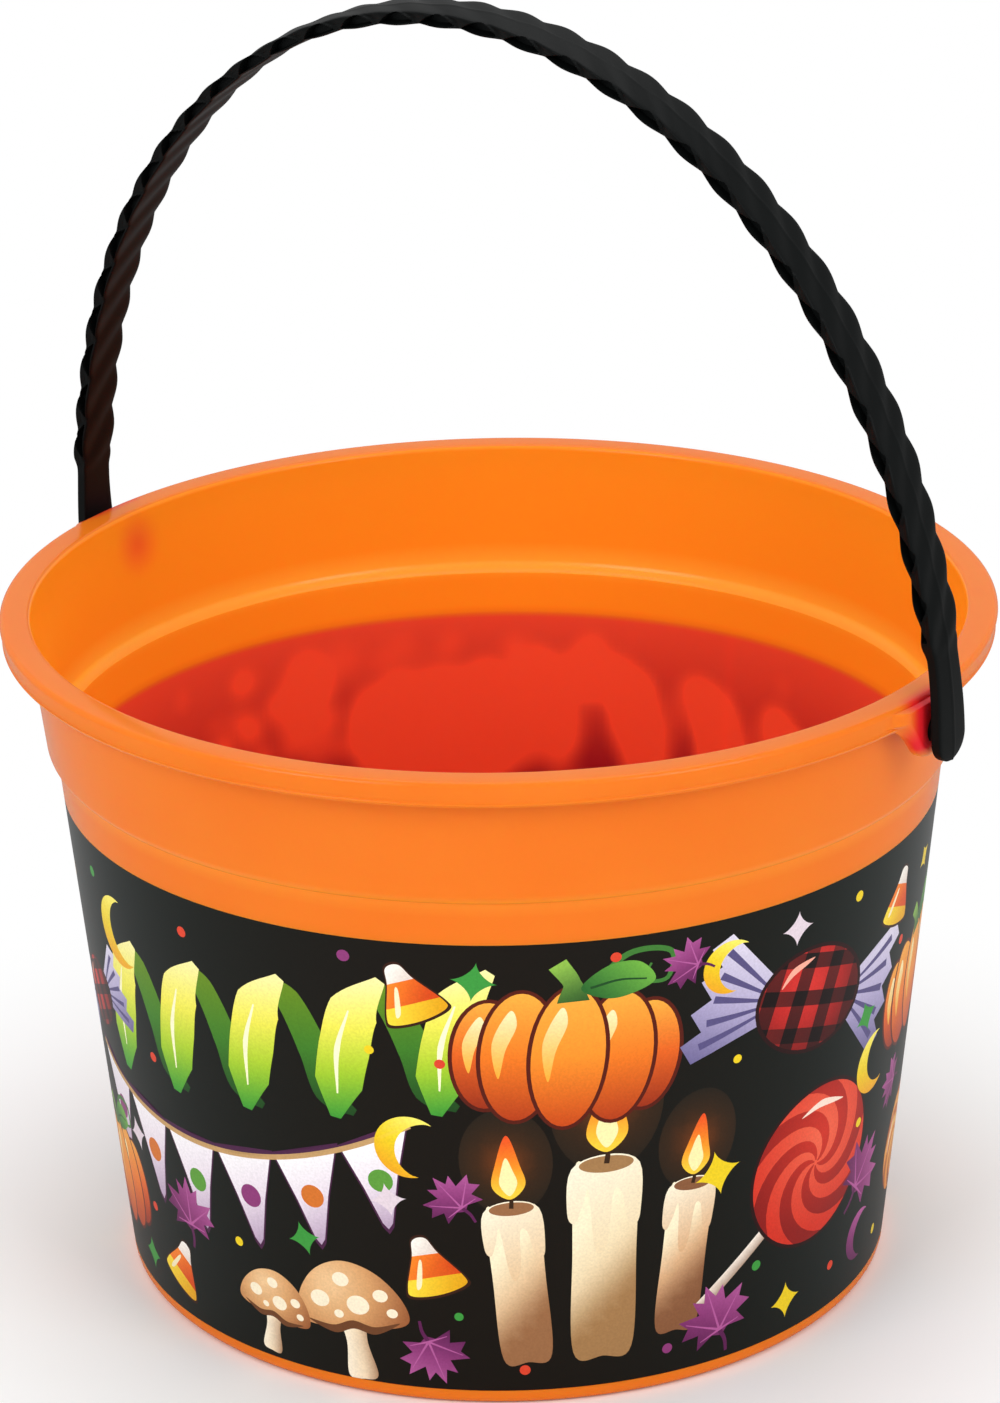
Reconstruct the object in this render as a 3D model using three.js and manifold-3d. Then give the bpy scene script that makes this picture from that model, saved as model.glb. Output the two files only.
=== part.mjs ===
// Halloween treat bucket: a tapered round pail with a wrap-round picture label and a rope-look bail.
// Millimetres. +Z is up, the pail stands on z = 0 with its axis on Z, and the bail pivots on X.

import * as THREE from 'three';
import { mergeVertices } from 'three/addons/utils/BufferGeometryUtils.js';
import Module from 'manifold-3d';

const wasm = await Module();
wasm.setup();

// Driving dimensions of the pail
const bucketHeight = 148;
const wallFootRadius = 82.55; // outer wall carried down its taper to the resting plane
const wallDraft = 0.1; // outward growth of the wall for each millimetre of height
const wallThickness = 1.3;
const floorThickness = 1.6;
const floorLift = 2; // underside of the floor above the resting plane
const footWidth = 2.6; // flat ring that the pail rests on
const footRound = 2.4;
const floorRound = 3; // inside corner between the floor and the wall

// Shoulder, collar and rim
const collarHeight = 27.4; // from the top of the shoulder to the top of the rim
const collarDraft = 0.12;
const shoulderHeight = 2.4;
const shoulderStep = 1.8; // how far the shoulder sets the collar out from the wall's taper
const shoulderBend = 0.9; // length of the bends at the shoulder's foot and top
const rimOverhang = 5.3; // from the collar's outer face to the rim's outer edge
const rimThickness = 1.6;
const rimRound = 1.1;
const lipThickness = 1.3;
const lipDepth = 5.3; // from the top of the rim to the lower edge of its turned-down lip
const lipTaper = 0.7; // how far the lip draws in towards its lower edge
const lipBead = 1.3; // height of the bead along the lower edge of the lip
const lipBeadProud = 0.3;

// Label, a printed film set flush into the wall
const labelMargin = 3.6; // bare wall left below the label
const labelTopMargin = 9.4; // bare wall left between the label and the shoulder
const labelThickness = 0.3;
const labelGap = 0.1; // between the film and its recess
const labelSeam = 1.2; // slit where the two ends of the wrapped film meet

// Ears, the two plates that hang from the rim at its lip and hold the bail's pins
const pivotDrop = 7.5; // from the top of the rim to the pivot axis
const earHalfWidth = 8;
const earBelowPivot = 6.3;
const earProud = 1.2; // ear's outer face beyond the rim's outer edge
const pinRadius = 2.8;
const pinClearance = 0.3; // round the pin and at its end

// Bail
const bailLean = 4.5; // degrees forward of upright, as it stands in the photograph
const tabGap = 1.8; // between an ear's face and the bail's flat tab
const tabThickness = 2.6;
const tabWidth = 8.8;
const tabBevel = 0.35;
const tabBelowPivot = 6.6;
const tabAbovePivot = 16; // flat length of the tab above the pivot
const tabSplay = 0.9; // how far the tabs stand out past the arch's own half width
const splayLength = 45; // length of bail over which they turn out
const ropeBlend = 5; // length over which the flat tab turns into rope
const ropeWidth = 11; // over the strands, and likewise the thickness
const ropeThickness = 3.4;
const valleyWidth = 9.7; // between the strands, and likewise the thickness
const valleyThickness = 2.3;
const ropeLobePitch = 10; // nearest even spacing of the rope's humps
const strandCount = 3;
const springAbovePivot = 2.3; // where the straight legs turn into the arch
const archRise = 132.5; // from there to the middle of the bail's section at the top

// Fineness of the faceted forms
const roundSegments = 80;
const arcSteps = 3;
const pinSegments = 20;
const earSegments = 8;
const stepsPerLobe = 5;
const endRings = 5;

// Places worked out from the sizes above
const shoulderTop = bucketHeight - collarHeight;
const shoulderFoot = shoulderTop - shoulderHeight;
const labelBottom = labelMargin;
const labelTop = shoulderFoot - labelTopMargin;
const pivotHeight = bucketHeight - pivotDrop;
const collarFootRadius = wallRadius(shoulderTop) + shoulderStep;
const rimRadius = collarRadius(bucketHeight) + rimOverhang;
const lipInner = rimRadius - lipTaper - lipThickness;
const earFace = rimRadius + earProud;
const pinHoleRadius = pinRadius + pinClearance;
const wallAtPin = collarRadius(pivotHeight + pinHoleRadius); // the collar's outer face behind a pin's tip
const tabMiddle = earFace + tabGap + tabThickness / 2;

function wallRadius(z) {
  return wallFootRadius + wallDraft * z;
}

function collarRadius(z) {
  return collarFootRadius + collarDraft * (z - shoulderTop);
}

// Points on a turn about (x, y), both ends included
function arc(x, y, radius, fromDegrees, toDegrees) {
  const points = [];
  for (let i = 0; i <= arcSteps; i += 1) {
    const angle = THREE.MathUtils.degToRad(THREE.MathUtils.lerp(fromDegrees, toDegrees, i / arcSteps));
    points.push(new THREE.Vector2(x + radius * Math.cos(angle), y + radius * Math.sin(angle)));
  }
  return points;
}

// The shoulder's step from the wall out to the collar. Inside, it is set back by the wall's depth
// and raised by half of it, so that the step is about as thick as the wall.
function shoulder(setback) {
  const lift = setback / 2;
  const foot = new THREE.Vector2(wallRadius(shoulderFoot + lift) - setback, shoulderFoot + lift);
  const top = new THREE.Vector2(collarRadius(shoulderTop + lift) - setback, shoulderTop + lift);
  const flare = new THREE.Vector2(shoulderStep / 2 + wallDraft * shoulderBend, shoulderBend / 2);
  const ease = new THREE.Vector2(collarDraft * shoulderBend, shoulderBend);
  const curve = new THREE.CubicBezierCurve(foot, foot.clone().add(flare), top.clone().sub(ease), top);
  return curve.getPoints(2 * arcSteps);
}

function latheSolid(points) {
  const geometry = new THREE.LatheGeometry(points, roundSegments);
  geometry.rotateX(Math.PI / 2); // the lathe's own axis is Y
  return toManifold(geometry);
}

function toManifold(geometry) {
  const bare = geometry.index ? geometry.clone() : geometry;
  bare.deleteAttribute('normal');
  bare.deleteAttribute('uv');
  const merged = mergeVertices(bare, 1e-4);
  return new wasm.Manifold(new wasm.Mesh({
    numProp: 3,
    vertProperties: new Float32Array(merged.attributes.position.array),
    triVerts: new Uint32Array(withoutSlivers(merged.index.array)),
  }));
}

// Triangles that lost a corner when vertices on the axis were merged are dropped
function withoutSlivers(index) {
  const kept = [];
  for (let i = 0; i < index.length; i += 3) {
    const [a, b, c] = [index[i], index[i + 1], index[i + 2]];
    if (a !== b && b !== c && c !== a) kept.push(a, b, c);
  }
  return kept;
}

function toMesh(name, solid, material) {
  const { vertProperties, triVerts } = solid.getMesh();
  const geometry = new THREE.BufferGeometry();
  geometry.setAttribute('position', new THREE.BufferAttribute(vertProperties, 3));
  geometry.setIndex(new THREE.BufferAttribute(triVerts, 1));
  geometry.computeVertexNormals();
  const mesh = new THREE.Mesh(geometry, material);
  mesh.name = name;
  return mesh;
}

// A cylinder lying along X between two places, on the pivot axis
function pivotCylinder(fromX, toX, radius) {
  const geometry = new THREE.CylinderGeometry(radius, radius, Math.abs(toX - fromX), pinSegments);
  geometry.rotateZ(Math.PI / 2);
  geometry.translate((fromX + toX) / 2, 0, pivotHeight);
  return toManifold(geometry);
}

// Pail: one lathe profile, drawn from the middle of the underside out, up, over the rim and back inside
function pailProfile() {
  const footOuter = wallRadius(footRound) - footRound;
  const recess = labelThickness + labelGap;
  const lipFoot = bucketHeight - lipDepth;
  const innerTop = collarRadius(bucketHeight) - wallThickness;
  const innerFloor = floorLift + floorThickness;
  const rimUnder = bucketHeight - rimThickness;
  return [
    new THREE.Vector2(0, floorLift),
    new THREE.Vector2(footOuter - footWidth - floorLift, floorLift),
    new THREE.Vector2(footOuter - footWidth, 0),
    ...arc(footOuter, footRound, footRound, -90, 0),
    new THREE.Vector2(wallRadius(labelBottom - labelGap), labelBottom - labelGap),
    new THREE.Vector2(wallRadius(labelBottom - labelGap) - recess, labelBottom - labelGap),
    new THREE.Vector2(wallRadius(labelTop + labelGap) - recess, labelTop + labelGap),
    new THREE.Vector2(wallRadius(labelTop + labelGap), labelTop + labelGap),
    ...shoulder(0),
    new THREE.Vector2(collarRadius(rimUnder), rimUnder),
    new THREE.Vector2(lipInner, rimUnder),
    new THREE.Vector2(lipInner, lipFoot),
    new THREE.Vector2(rimRadius - lipTaper, lipFoot),
    new THREE.Vector2(rimRadius - lipTaper + lipBeadProud, lipFoot + lipBead / 2),
    new THREE.Vector2(rimRadius - lipTaper, lipFoot + lipBead),
    ...arc(rimRadius - rimRound, bucketHeight - rimRound, rimRound, 0, 90),
    ...arc(innerTop + rimRound, bucketHeight - rimRound, rimRound, 90, 180),
    ...shoulder(wallThickness).reverse(),
    ...arc(wallRadius(innerFloor) - wallThickness - floorRound, innerFloor + floorRound, floorRound, 0, -90),
    new THREE.Vector2(0, innerFloor),
  ];
}

// An ear is a plate with a round lower end, as deep as from the lip's inner side to the ear's outer face
function earPlate() {
  const half = earHalfWidth;
  const top = bucketHeight - rimThickness / 2;
  const roundMiddle = pivotHeight - earBelowPivot + half;
  const shape = new THREE.Shape();
  shape.moveTo(half, top);
  shape.lineTo(-half, top);
  shape.lineTo(-half, roundMiddle);
  shape.absarc(0, roundMiddle, half, Math.PI, 2 * Math.PI, false);
  shape.closePath();
  const geometry = new THREE.ExtrudeGeometry(shape, {
    depth: earFace - lipInner,
    bevelEnabled: false,
    curveSegments: earSegments,
  });
  // the shape's plane becomes YZ and its depth runs along X
  geometry.rotateX(Math.PI / 2);
  geometry.rotateZ(Math.PI / 2);
  geometry.translate(lipInner, 0, 0);
  return toManifold(geometry);
}

function bucketBody(material) {
  const rightEar = earPlate();
  const pinHole = pivotCylinder(wallAtPin, earFace + tabGap, pinHoleRadius);
  const solid = latheSolid(pailProfile())
    .add(rightEar)
    .add(rightEar.rotate([0, 0, 180]))
    .subtract(pinHole)
    .subtract(pinHole.rotate([0, 0, 180]));
  return toMesh('bucket_body', solid, material);
}

// Label: the printed film as a thin ring with a slit at the back where its ends meet
function labelWrap(material) {
  const ring = latheSolid([
    new THREE.Vector2(wallRadius(labelBottom) - labelThickness, labelBottom),
    new THREE.Vector2(wallRadius(labelBottom), labelBottom),
    new THREE.Vector2(wallRadius(labelTop), labelTop),
    new THREE.Vector2(wallRadius(labelTop) - labelThickness, labelTop),
    new THREE.Vector2(wallRadius(labelBottom) - labelThickness, labelBottom),
  ]);
  const reach = wallRadius(labelTop);
  const slit = new THREE.BoxGeometry(labelSeam, reach, 2 * labelTop);
  slit.translate(0, reach, labelTop / 2);
  return toMesh('label_wrap', ring.subtract(toManifold(slit)), material);
}

// Middle line of the bail, left end to right end: leg, half-ellipse arch, leg
const legLength = springAbovePivot + tabBelowPivot;
const archHalfWidth = tabMiddle - tabSplay;
const arch = new THREE.EllipseCurve(0, springAbovePivot, archHalfWidth, archRise, Math.PI, 0, true);
arch.arcLengthDivisions = 2000;
const archLength = arch.getLength();
const bailLength = archLength + 2 * legLength;

// The left half of the middle line, and its outward direction, at a distance along the bail
function leftHalf(s) {
  const splay = tabSplay * (1 - THREE.MathUtils.smoothstep(s, tabBelowPivot, tabBelowPivot + splayLength));
  if (s < legLength) {
    const middle = new THREE.Vector2(-archHalfWidth - splay, s - tabBelowPivot);
    return { middle, outward: new THREE.Vector2(-1, 0) };
  }
  const u = (s - legLength) / archLength;
  const middle = arch.getPointAt(u).sub(new THREE.Vector2(splay, 0));
  const tangent = arch.getTangentAt(u);
  return { middle, outward: new THREE.Vector2(-tangent.y, tangent.x) };
}

function bailFrame(s) {
  if (s <= bailLength / 2) return leftHalf(s);
  const { middle, outward } = leftHalf(bailLength - s);
  return { middle: middle.setX(-middle.x), outward: outward.setX(-outward.x) };
}

// Corner points of the tab's section, as (outward, across) pairs round the section
function tabRing(widthShare) {
  const t = tabThickness / 2;
  const w = (tabWidth / 2) * widthShare;
  const c = Math.min(tabBevel, w / 2);
  const half = [[t, 0], [t, w - c], [t - c, w], [0, w], [c - t, w], [-t, w - c]];
  return [...half, ...half.map(([a, b]) => [-a, -b])];
}

const ringPoints = 12;

// The rope's section: an oval that swells over each strand and sinks between two strands
function ropeRing(twist) {
  const points = [];
  for (let k = 0; k < ringPoints; k += 1) {
    const turn = (k * 2 * Math.PI) / ringPoints;
    const angle = twist + turn;
    const swell = Math.abs(Math.sin((strandCount * turn) / 2));
    const thickness = THREE.MathUtils.lerp(valleyThickness, ropeThickness, swell);
    const width = THREE.MathUtils.lerp(valleyWidth, ropeWidth, swell);
    points.push([(thickness / 2) * Math.cos(angle), (width / 2) * Math.sin(angle)]);
  }
  return points;
}

// Distances along the bail at which its section is drawn
const ropeStart = tabBelowPivot + tabAbovePivot + ropeBlend;
const ropeLength = bailLength - 2 * ropeStart;
const lobeCount = Math.round(ropeLength / ropeLobePitch);
const lobeTurn = (2 * Math.PI) / strandCount;

function bailStations() {
  const half = [];
  for (let i = 1; i <= endRings; i += 1) {
    half.push((tabWidth / 2) * (1 - Math.cos(((Math.PI / 2) * i) / endRings)));
  }
  half.push(tabBelowPivot + tabAbovePivot);
  const steps = lobeCount * stepsPerLobe;
  const rope = [];
  for (let i = 0; i <= steps; i += 1) rope.push(ropeStart + (ropeLength * i) / steps);
  return [...half, ...rope, ...half.map((s) => bailLength - s).reverse()];
}

function bailRing(s) {
  const fromEnd = Math.min(s, bailLength - s);
  const endRadius = tabWidth / 2;
  const intoEnd = Math.max(1 - fromEnd / endRadius, 0);
  const widthShare = Math.sqrt(1 - intoEnd ** 2);
  const along = THREE.MathUtils.clamp((s - ropeStart) / ropeLength, 0, 1);
  // going left to right over the top, the strands run from the back edge over to the front
  const twist = -along * lobeCount * lobeTurn;
  const shift = Math.round((twist * ringPoints) / (2 * Math.PI));
  const tab = tabRing(widthShare);
  const rope = ropeRing(twist);
  const isTab = fromEnd < ropeStart - ropeBlend / 2;
  const { middle, outward } = bailFrame(s);
  const ring = [];
  for (let k = 0; k < ringPoints; k += 1) {
    const tabIndex = (((k + shift) % ringPoints) + ringPoints) % ringPoints;
    const [out, across] = isTab ? tab[tabIndex] : rope[k];
    ring.push(new THREE.Vector3(
      middle.x + outward.x * out,
      across,
      pivotHeight + middle.y + outward.y * out,
    ));
  }
  return ring;
}

// Rings of points joined into one closed skin, with a fan of triangles over each end
function skin(rings) {
  const count = rings[0].length;
  const positions = rings.flat().flatMap((point) => point.toArray());
  const index = [];
  for (let i = 0; i < rings.length - 1; i += 1) {
    for (let k = 0; k < count; k += 1) {
      const next = (k + 1) % count;
      const [a, b] = [i * count + k, i * count + next];
      const [c, d] = [a + count, b + count];
      index.push(a, c, b, b, c, d);
    }
  }
  const last = (rings.length - 1) * count;
  for (let k = 1; k < count - 1; k += 1) {
    index.push(0, k, k + 1);
    index.push(last, last + k + 1, last + k);
  }
  const geometry = new THREE.BufferGeometry();
  geometry.setAttribute('position', new THREE.Float32BufferAttribute(positions, 3));
  geometry.setIndex(index);
  return geometry;
}

function bailHandle(material) {
  const pinTip = wallAtPin + pinClearance;
  const hoop = toManifold(skin(bailStations().map(bailRing)));
  const solid = hoop
    .add(pivotCylinder(pinTip, tabMiddle, pinRadius))
    .add(pivotCylinder(-pinTip, -tabMiddle, pinRadius))
    .translate([0, 0, -pivotHeight])
    .rotate([bailLean, 0, 0])
    .translate([0, 0, pivotHeight]);
  return toMesh('bail_handle', solid, material);
}

const orangePlastic = new THREE.MeshStandardMaterial({ color: '#f57a24', roughness: 0.35, metalness: 0 });
const printedFilm = new THREE.MeshStandardMaterial({ color: '#241d14', roughness: 0.4, metalness: 0 });
const blackPlastic = new THREE.MeshStandardMaterial({ color: '#1f2121', roughness: 0.45, metalness: 0 });

const bucket = new THREE.Group();
bucket.add(bucketBody(orangePlastic));
bucket.add(labelWrap(printedFilm));
bucket.add(bailHandle(blackPlastic));

export default bucket;
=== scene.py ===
# %% [markdown]
# This lesson dresses a round plastic treat pail: one injection-moulded shell of translucent orange
# polypropylene, a printed film moulded flush into its wall, and a black moulded bail that looks like rope.
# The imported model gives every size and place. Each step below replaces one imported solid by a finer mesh
# in the same place, or gives a surface its finish.

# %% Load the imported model
import math

import bmesh
import bpy
import numpy as np
from mathutils import Matrix, Vector
from mathutils.geometry import delaunay_2d_cdt


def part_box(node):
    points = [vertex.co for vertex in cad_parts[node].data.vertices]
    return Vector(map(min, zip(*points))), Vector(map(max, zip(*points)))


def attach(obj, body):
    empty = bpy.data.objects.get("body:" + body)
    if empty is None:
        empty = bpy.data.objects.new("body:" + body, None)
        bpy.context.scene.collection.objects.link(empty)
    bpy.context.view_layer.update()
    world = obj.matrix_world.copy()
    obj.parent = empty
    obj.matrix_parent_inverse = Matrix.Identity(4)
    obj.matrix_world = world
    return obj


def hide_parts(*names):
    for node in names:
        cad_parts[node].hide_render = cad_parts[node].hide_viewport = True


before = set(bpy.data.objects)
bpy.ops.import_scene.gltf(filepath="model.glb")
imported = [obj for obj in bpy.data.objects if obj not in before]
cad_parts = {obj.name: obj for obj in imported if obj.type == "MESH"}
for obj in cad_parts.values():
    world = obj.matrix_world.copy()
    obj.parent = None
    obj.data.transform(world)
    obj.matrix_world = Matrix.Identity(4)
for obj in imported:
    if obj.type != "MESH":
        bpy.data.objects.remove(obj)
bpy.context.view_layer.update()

# %% [markdown]
# Sizes are in millimetres, as a mould maker writes them, and `mm` turns them into Blender's metres.
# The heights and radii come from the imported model's boxes where they can. The rest are the pail's own
# driving sizes, each written once.

# %% Sizes of the pail
mm = 0.001
label_low, label_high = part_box("label_wrap")

bucket_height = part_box("bucket_body")[1].z / mm
label_bottom = label_low.z / mm
label_top = label_high.z / mm
wall_foot_radius = 82.55
wall_draft = 0.1
wall_thickness = 1.3
floor_lift = 2.0
floor_thickness = 1.6
foot_width = 2.6
foot_round = 2.4
floor_round = 3.0
collar_height = 27.4
collar_draft = 0.12
shoulder_height = 2.4
shoulder_step = 1.8
shoulder_bend = 0.9
rim_overhang = 5.3
rim_thickness = 1.6
rim_round = 1.1
lip_thickness = 1.3
lip_depth = 5.3
lip_taper = 0.7
lip_bead = 1.3
lip_bead_proud = 0.3
label_thickness = 0.3
label_gap = 0.1
label_seam = 1.2
pivot_drop = 7.5
ear_below_pivot = 6.3
ear_proud = 1.2
pin_radius = 2.8
pin_clearance = 0.3

shoulder_top = bucket_height - collar_height
shoulder_foot = shoulder_top - shoulder_height
pivot_height = bucket_height - pivot_drop
inner_floor = floor_lift + floor_thickness


def wall_radius(z):
    """Outer radius of the tapered wall at a height."""
    return wall_foot_radius + wall_draft * z


collar_foot_radius = wall_radius(shoulder_top) + shoulder_step


def collar_radius(z):
    """Outer radius of the collar at a height."""
    return collar_foot_radius + collar_draft * (z - shoulder_top)


rim_radius = collar_radius(bucket_height) + rim_overhang
lip_inner = rim_radius - lip_taper - lip_thickness
ear_face = rim_radius + ear_proud
print(f"rim {2 * rim_radius:.1f} mm across, pail {bucket_height:.1f} mm high")

# %% [markdown]
# A few helpers serve the whole lesson. Colours are written as sRGB hex values, the way a paint program
# shows them, but Blender's sockets take linear light, so one function converts them. One function adds a
# node with its settings, and calls the one that fills in a node's inputs. The others start a material, put
# a mesh into the scene, and make a finished piece ride with its body.

# %% Helpers
def linear(hex_colour):
    """An sRGB hex colour as linear red, green, blue and alpha."""
    parts = [int(hex_colour[i:i + 2], 16) / 255 for i in (1, 3, 5)]
    return [p / 12.92 if p <= 0.04045 else ((p + 0.055) / 1.055) ** 2.4 for p in parts] + [1.0]


def fill(tree, node, inputs):
    """Sets or links inputs, given by place or name, each as a value, a socket or another node."""
    for key, value in inputs.items() if isinstance(inputs, dict) else enumerate(inputs):
        if isinstance(value, bpy.types.Node):
            value = next(socket for socket in value.outputs if socket.enabled)
        if isinstance(value, bpy.types.NodeSocket):
            tree.links.new(value, node.inputs[key])
        elif value is not None:
            node.inputs[key].default_value = value


def add(tree, kind, inputs=(), **settings):
    """Adds a node with its settings and fills in its inputs."""
    node = tree.nodes.new(kind)
    for name, value in settings.items():
        setattr(node, name, value)
    fill(tree, node, inputs)
    return node


def new_material(name):
    """A node material, its tree, its linked Principled shader, and the socket of a point's place."""
    material = bpy.data.materials.new(name)
    material.use_nodes = True
    tree = material.node_tree
    tree.nodes.clear()
    shader = add(tree, "ShaderNodeBsdfPrincipled")
    add(tree, "ShaderNodeOutputMaterial", {"Surface": shader})
    return material, tree, shader, add(tree, "ShaderNodeTexCoord").outputs["Object"]


def new_object(name, mesh):
    """Links a mesh into the scene as an object at the origin."""
    piece = bpy.data.objects.new(name, mesh)
    bpy.context.scene.collection.objects.link(piece)
    return piece


def put_on(piece, body, node):
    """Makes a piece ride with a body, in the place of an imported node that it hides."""
    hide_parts(node)
    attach(piece, body)
    triangles = sum(len(face.vertices) - 2 for face in piece.data.polygons)
    print(f"{piece.name}: {triangles} triangles on {body}")

# %% [markdown]
# The photograph was taken from above the pail's right front, a metre away, with a long lens. The camera's
# place was found from the ellipses of the rim, the label's edges and the base. It is built from its
# three axes, so its slight roll is kept.

# %% Camera
camera_turn = math.radians(35)
camera_away = 970.8 * mm
camera_height = 506.0 * mm
camera_pitch = math.radians(21.5)
camera_roll = math.radians(-0.92)
camera_lens = 125.78

along = Vector((-math.sin(camera_turn), math.cos(camera_turn), 0))
forward = along * math.cos(camera_pitch) + Vector((0, 0, -math.sin(camera_pitch)))
right = Vector((math.cos(camera_turn), math.sin(camera_turn), 0))
up = right.cross(forward)
rolled_right = right * math.cos(camera_roll) + up * math.sin(camera_roll)
rolled_up = up * math.cos(camera_roll) - right * math.sin(camera_roll)

camera_data = bpy.data.cameras.new("camera")
camera_data.lens = camera_lens
camera = bpy.data.objects.new("camera", camera_data)
axes = Matrix((rolled_right, rolled_up, -forward)).transposed().to_4x4()
camera.matrix_world = Matrix.Translation(-along * camera_away + Vector((0, 0, camera_height))) @ axes
bpy.context.scene.collection.objects.link(camera)
bpy.context.scene.camera = camera
print("camera at", [round(value, 4) for value in camera.location])

# %% [markdown]
# The background is white paper. A world that is white to the camera, but dimmer as a light and dimmer still
# in reflections, keeps the paper white without a pale veil on the gloss. The floor is matt near the pail,
# where it takes the shadow, and fades to plain white further out, so no horizon shows.

# %% World and floor
scene = bpy.context.scene
scene.view_settings.view_transform = "Standard"

world = bpy.data.worlds.new("white_studio")
world.use_nodes = True
tree = world.node_tree
tree.nodes.clear()
paths = add(tree, "ShaderNodeLightPath")
seen = add(tree, "ShaderNodeMath", [paths.outputs["Is Camera Ray"], paths.outputs["Is Transmission Ray"]],
           operation="MAXIMUM")
ambient_level, mirrored_level = 0.63, 0.6
level = add(tree, "ShaderNodeMapRange",
            [paths.outputs["Is Glossy Ray"], 0.0, 1.0, ambient_level, mirrored_level])
level = add(tree, "ShaderNodeMapRange", [seen, 0.0, 1.0, level, 1.0])
glow = add(tree, "ShaderNodeBackground", {"Color": linear("#ffffff"), "Strength": level})
add(tree, "ShaderNodeOutputWorld", {"Surface": glow})
scene.world = world

floor_reach = 3000 * mm
shadow_reach = (85 * mm, 200 * mm)
paper, tree, shader, place = new_material("matt_white_paper")
distance = add(tree, "ShaderNodeVectorMath", [place], operation="LENGTH").outputs["Value"]
fade = add(tree, "ShaderNodeMapRange", [distance, *shadow_reach, 0.0, 1.0], interpolation_type="SMOOTHSTEP")
paths = add(tree, "ShaderNodeLightPath")
fade = add(tree, "ShaderNodeMath", [fade, paths.outputs["Is Camera Ray"]], operation="MULTIPLY")
tone = add(tree, "ShaderNodeMix",
           {0: paths.outputs["Is Glossy Ray"], 6: linear("#fafafa"), 7: linear("#b8b8b8")}, data_type="RGBA")
fill(tree, shader, {"Base Color": tone, "Roughness": 0.9, "Specular IOR Level": 0.1})
white = add(tree, "ShaderNodeEmission", {"Color": linear("#ffffff"), "Strength": 1.0})
mixed = add(tree, "ShaderNodeMixShader", [fade, shader, white])
fill(tree, tree.nodes["Material Output"], {"Surface": mixed})

corners = [(x * floor_reach, y * floor_reach, 0) for x, y in ((-1, -1), (1, -1), (1, 1), (-1, 1))]
floor_mesh = bpy.data.meshes.new("floor")
floor_mesh.from_pydata(corners, [], [(0, 1, 2, 3)])
floor_mesh.materials.append(paper)
floor = new_object("floor", floor_mesh)
print("floor", 2 * floor_reach, "m wide")

# %% [markdown]
# Studio product light is soft and comes from boxes: a large one overhead, a key at the left of the camera
# and a weaker fill at its right. Area lights give that, and their shape shows in the gloss.

# %% Lights
pail_middle = Vector((0, 0, 90 * mm))


def soft_box(name, azimuth, elevation, away, size, power):
    """A square soft box that looks at the pail's middle, placed by angles seen from there."""
    turn, tilt = math.radians(azimuth), math.radians(elevation)
    direction = Vector((math.cos(tilt) * math.cos(turn), math.cos(tilt) * math.sin(turn), math.sin(tilt)))
    data = bpy.data.lights.new(name, "AREA")
    data.size = size
    data.energy = power
    lamp = bpy.data.objects.new(name, data)
    lamp.location = pail_middle + direction * away
    lamp.rotation_euler = direction.to_track_quat("Z", "Y").to_euler()
    scene.collection.objects.link(lamp)


soft_box("top_box", azimuth=125, elevation=72, away=1.3, size=0.9, power=4.5)
soft_box("key_box", azimuth=-97, elevation=32, away=1.4, size=0.7, power=5.7)
soft_box("fill_box", azimuth=-11, elevation=30, away=1.5, size=0.7, power=6)
print(len(bpy.data.lights), "soft boxes")

# %% [markdown]
# The pail's section is drawn once, from the middle of the underside out, up over the rim and back down
# inside. It has the mould's small rounds, which catch the light. The rows are close on the inner wall,
# because its colour follows the print behind it.

# %% Profile of the pail
def arc(x, y, radius, start, end, steps=8):
    """Points on a turn about (x, y), in degrees, both ends included."""
    turns = np.radians(np.linspace(start, end, steps + 1))
    return [(x + radius * math.cos(t), y + radius * math.sin(t)) for t in turns]


def shoulder(setback, steps=16):
    """The shoulder's step from the wall out to the collar. Inside, it is set back and a little raised."""
    low, high = shoulder_foot + setback / 2, shoulder_top + setback / 2
    foot = np.array([wall_radius(low) - setback, low])
    top = np.array([collar_radius(high) - setback, high])
    flare = np.array([shoulder_step / 2 + wall_draft * shoulder_bend, shoulder_bend / 2])
    ease = np.array([collar_draft * shoulder_bend, shoulder_bend])
    t = np.linspace(0, 1, steps + 1)[:, None]
    curve = ((1 - t) ** 3 * foot + 3 * (1 - t) ** 2 * t * (foot + flare)
             + 3 * (1 - t) * t ** 2 * (top - ease) + t ** 3 * top)
    return [tuple(point) for point in curve]


def rows(start, end, spacing):
    """Points on a straight stretch, spaced evenly, with both ends left out."""
    count = max(int(math.dist(start, end) / spacing), 1)
    return [tuple(np.add(start, np.subtract(end, start) * i / count)) for i in range(1, count)]


under_spacing, outer_spacing, step_spacing = 12, 4, 3
inner_spacing, window_spacing, floor_spacing = 1.5, 1.4, 6
window_ease = 0.4
gate_radius, gate_depth = 5.0, 0.4
lip_edge_round, bead_foot = 0.15, 0.1


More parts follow.
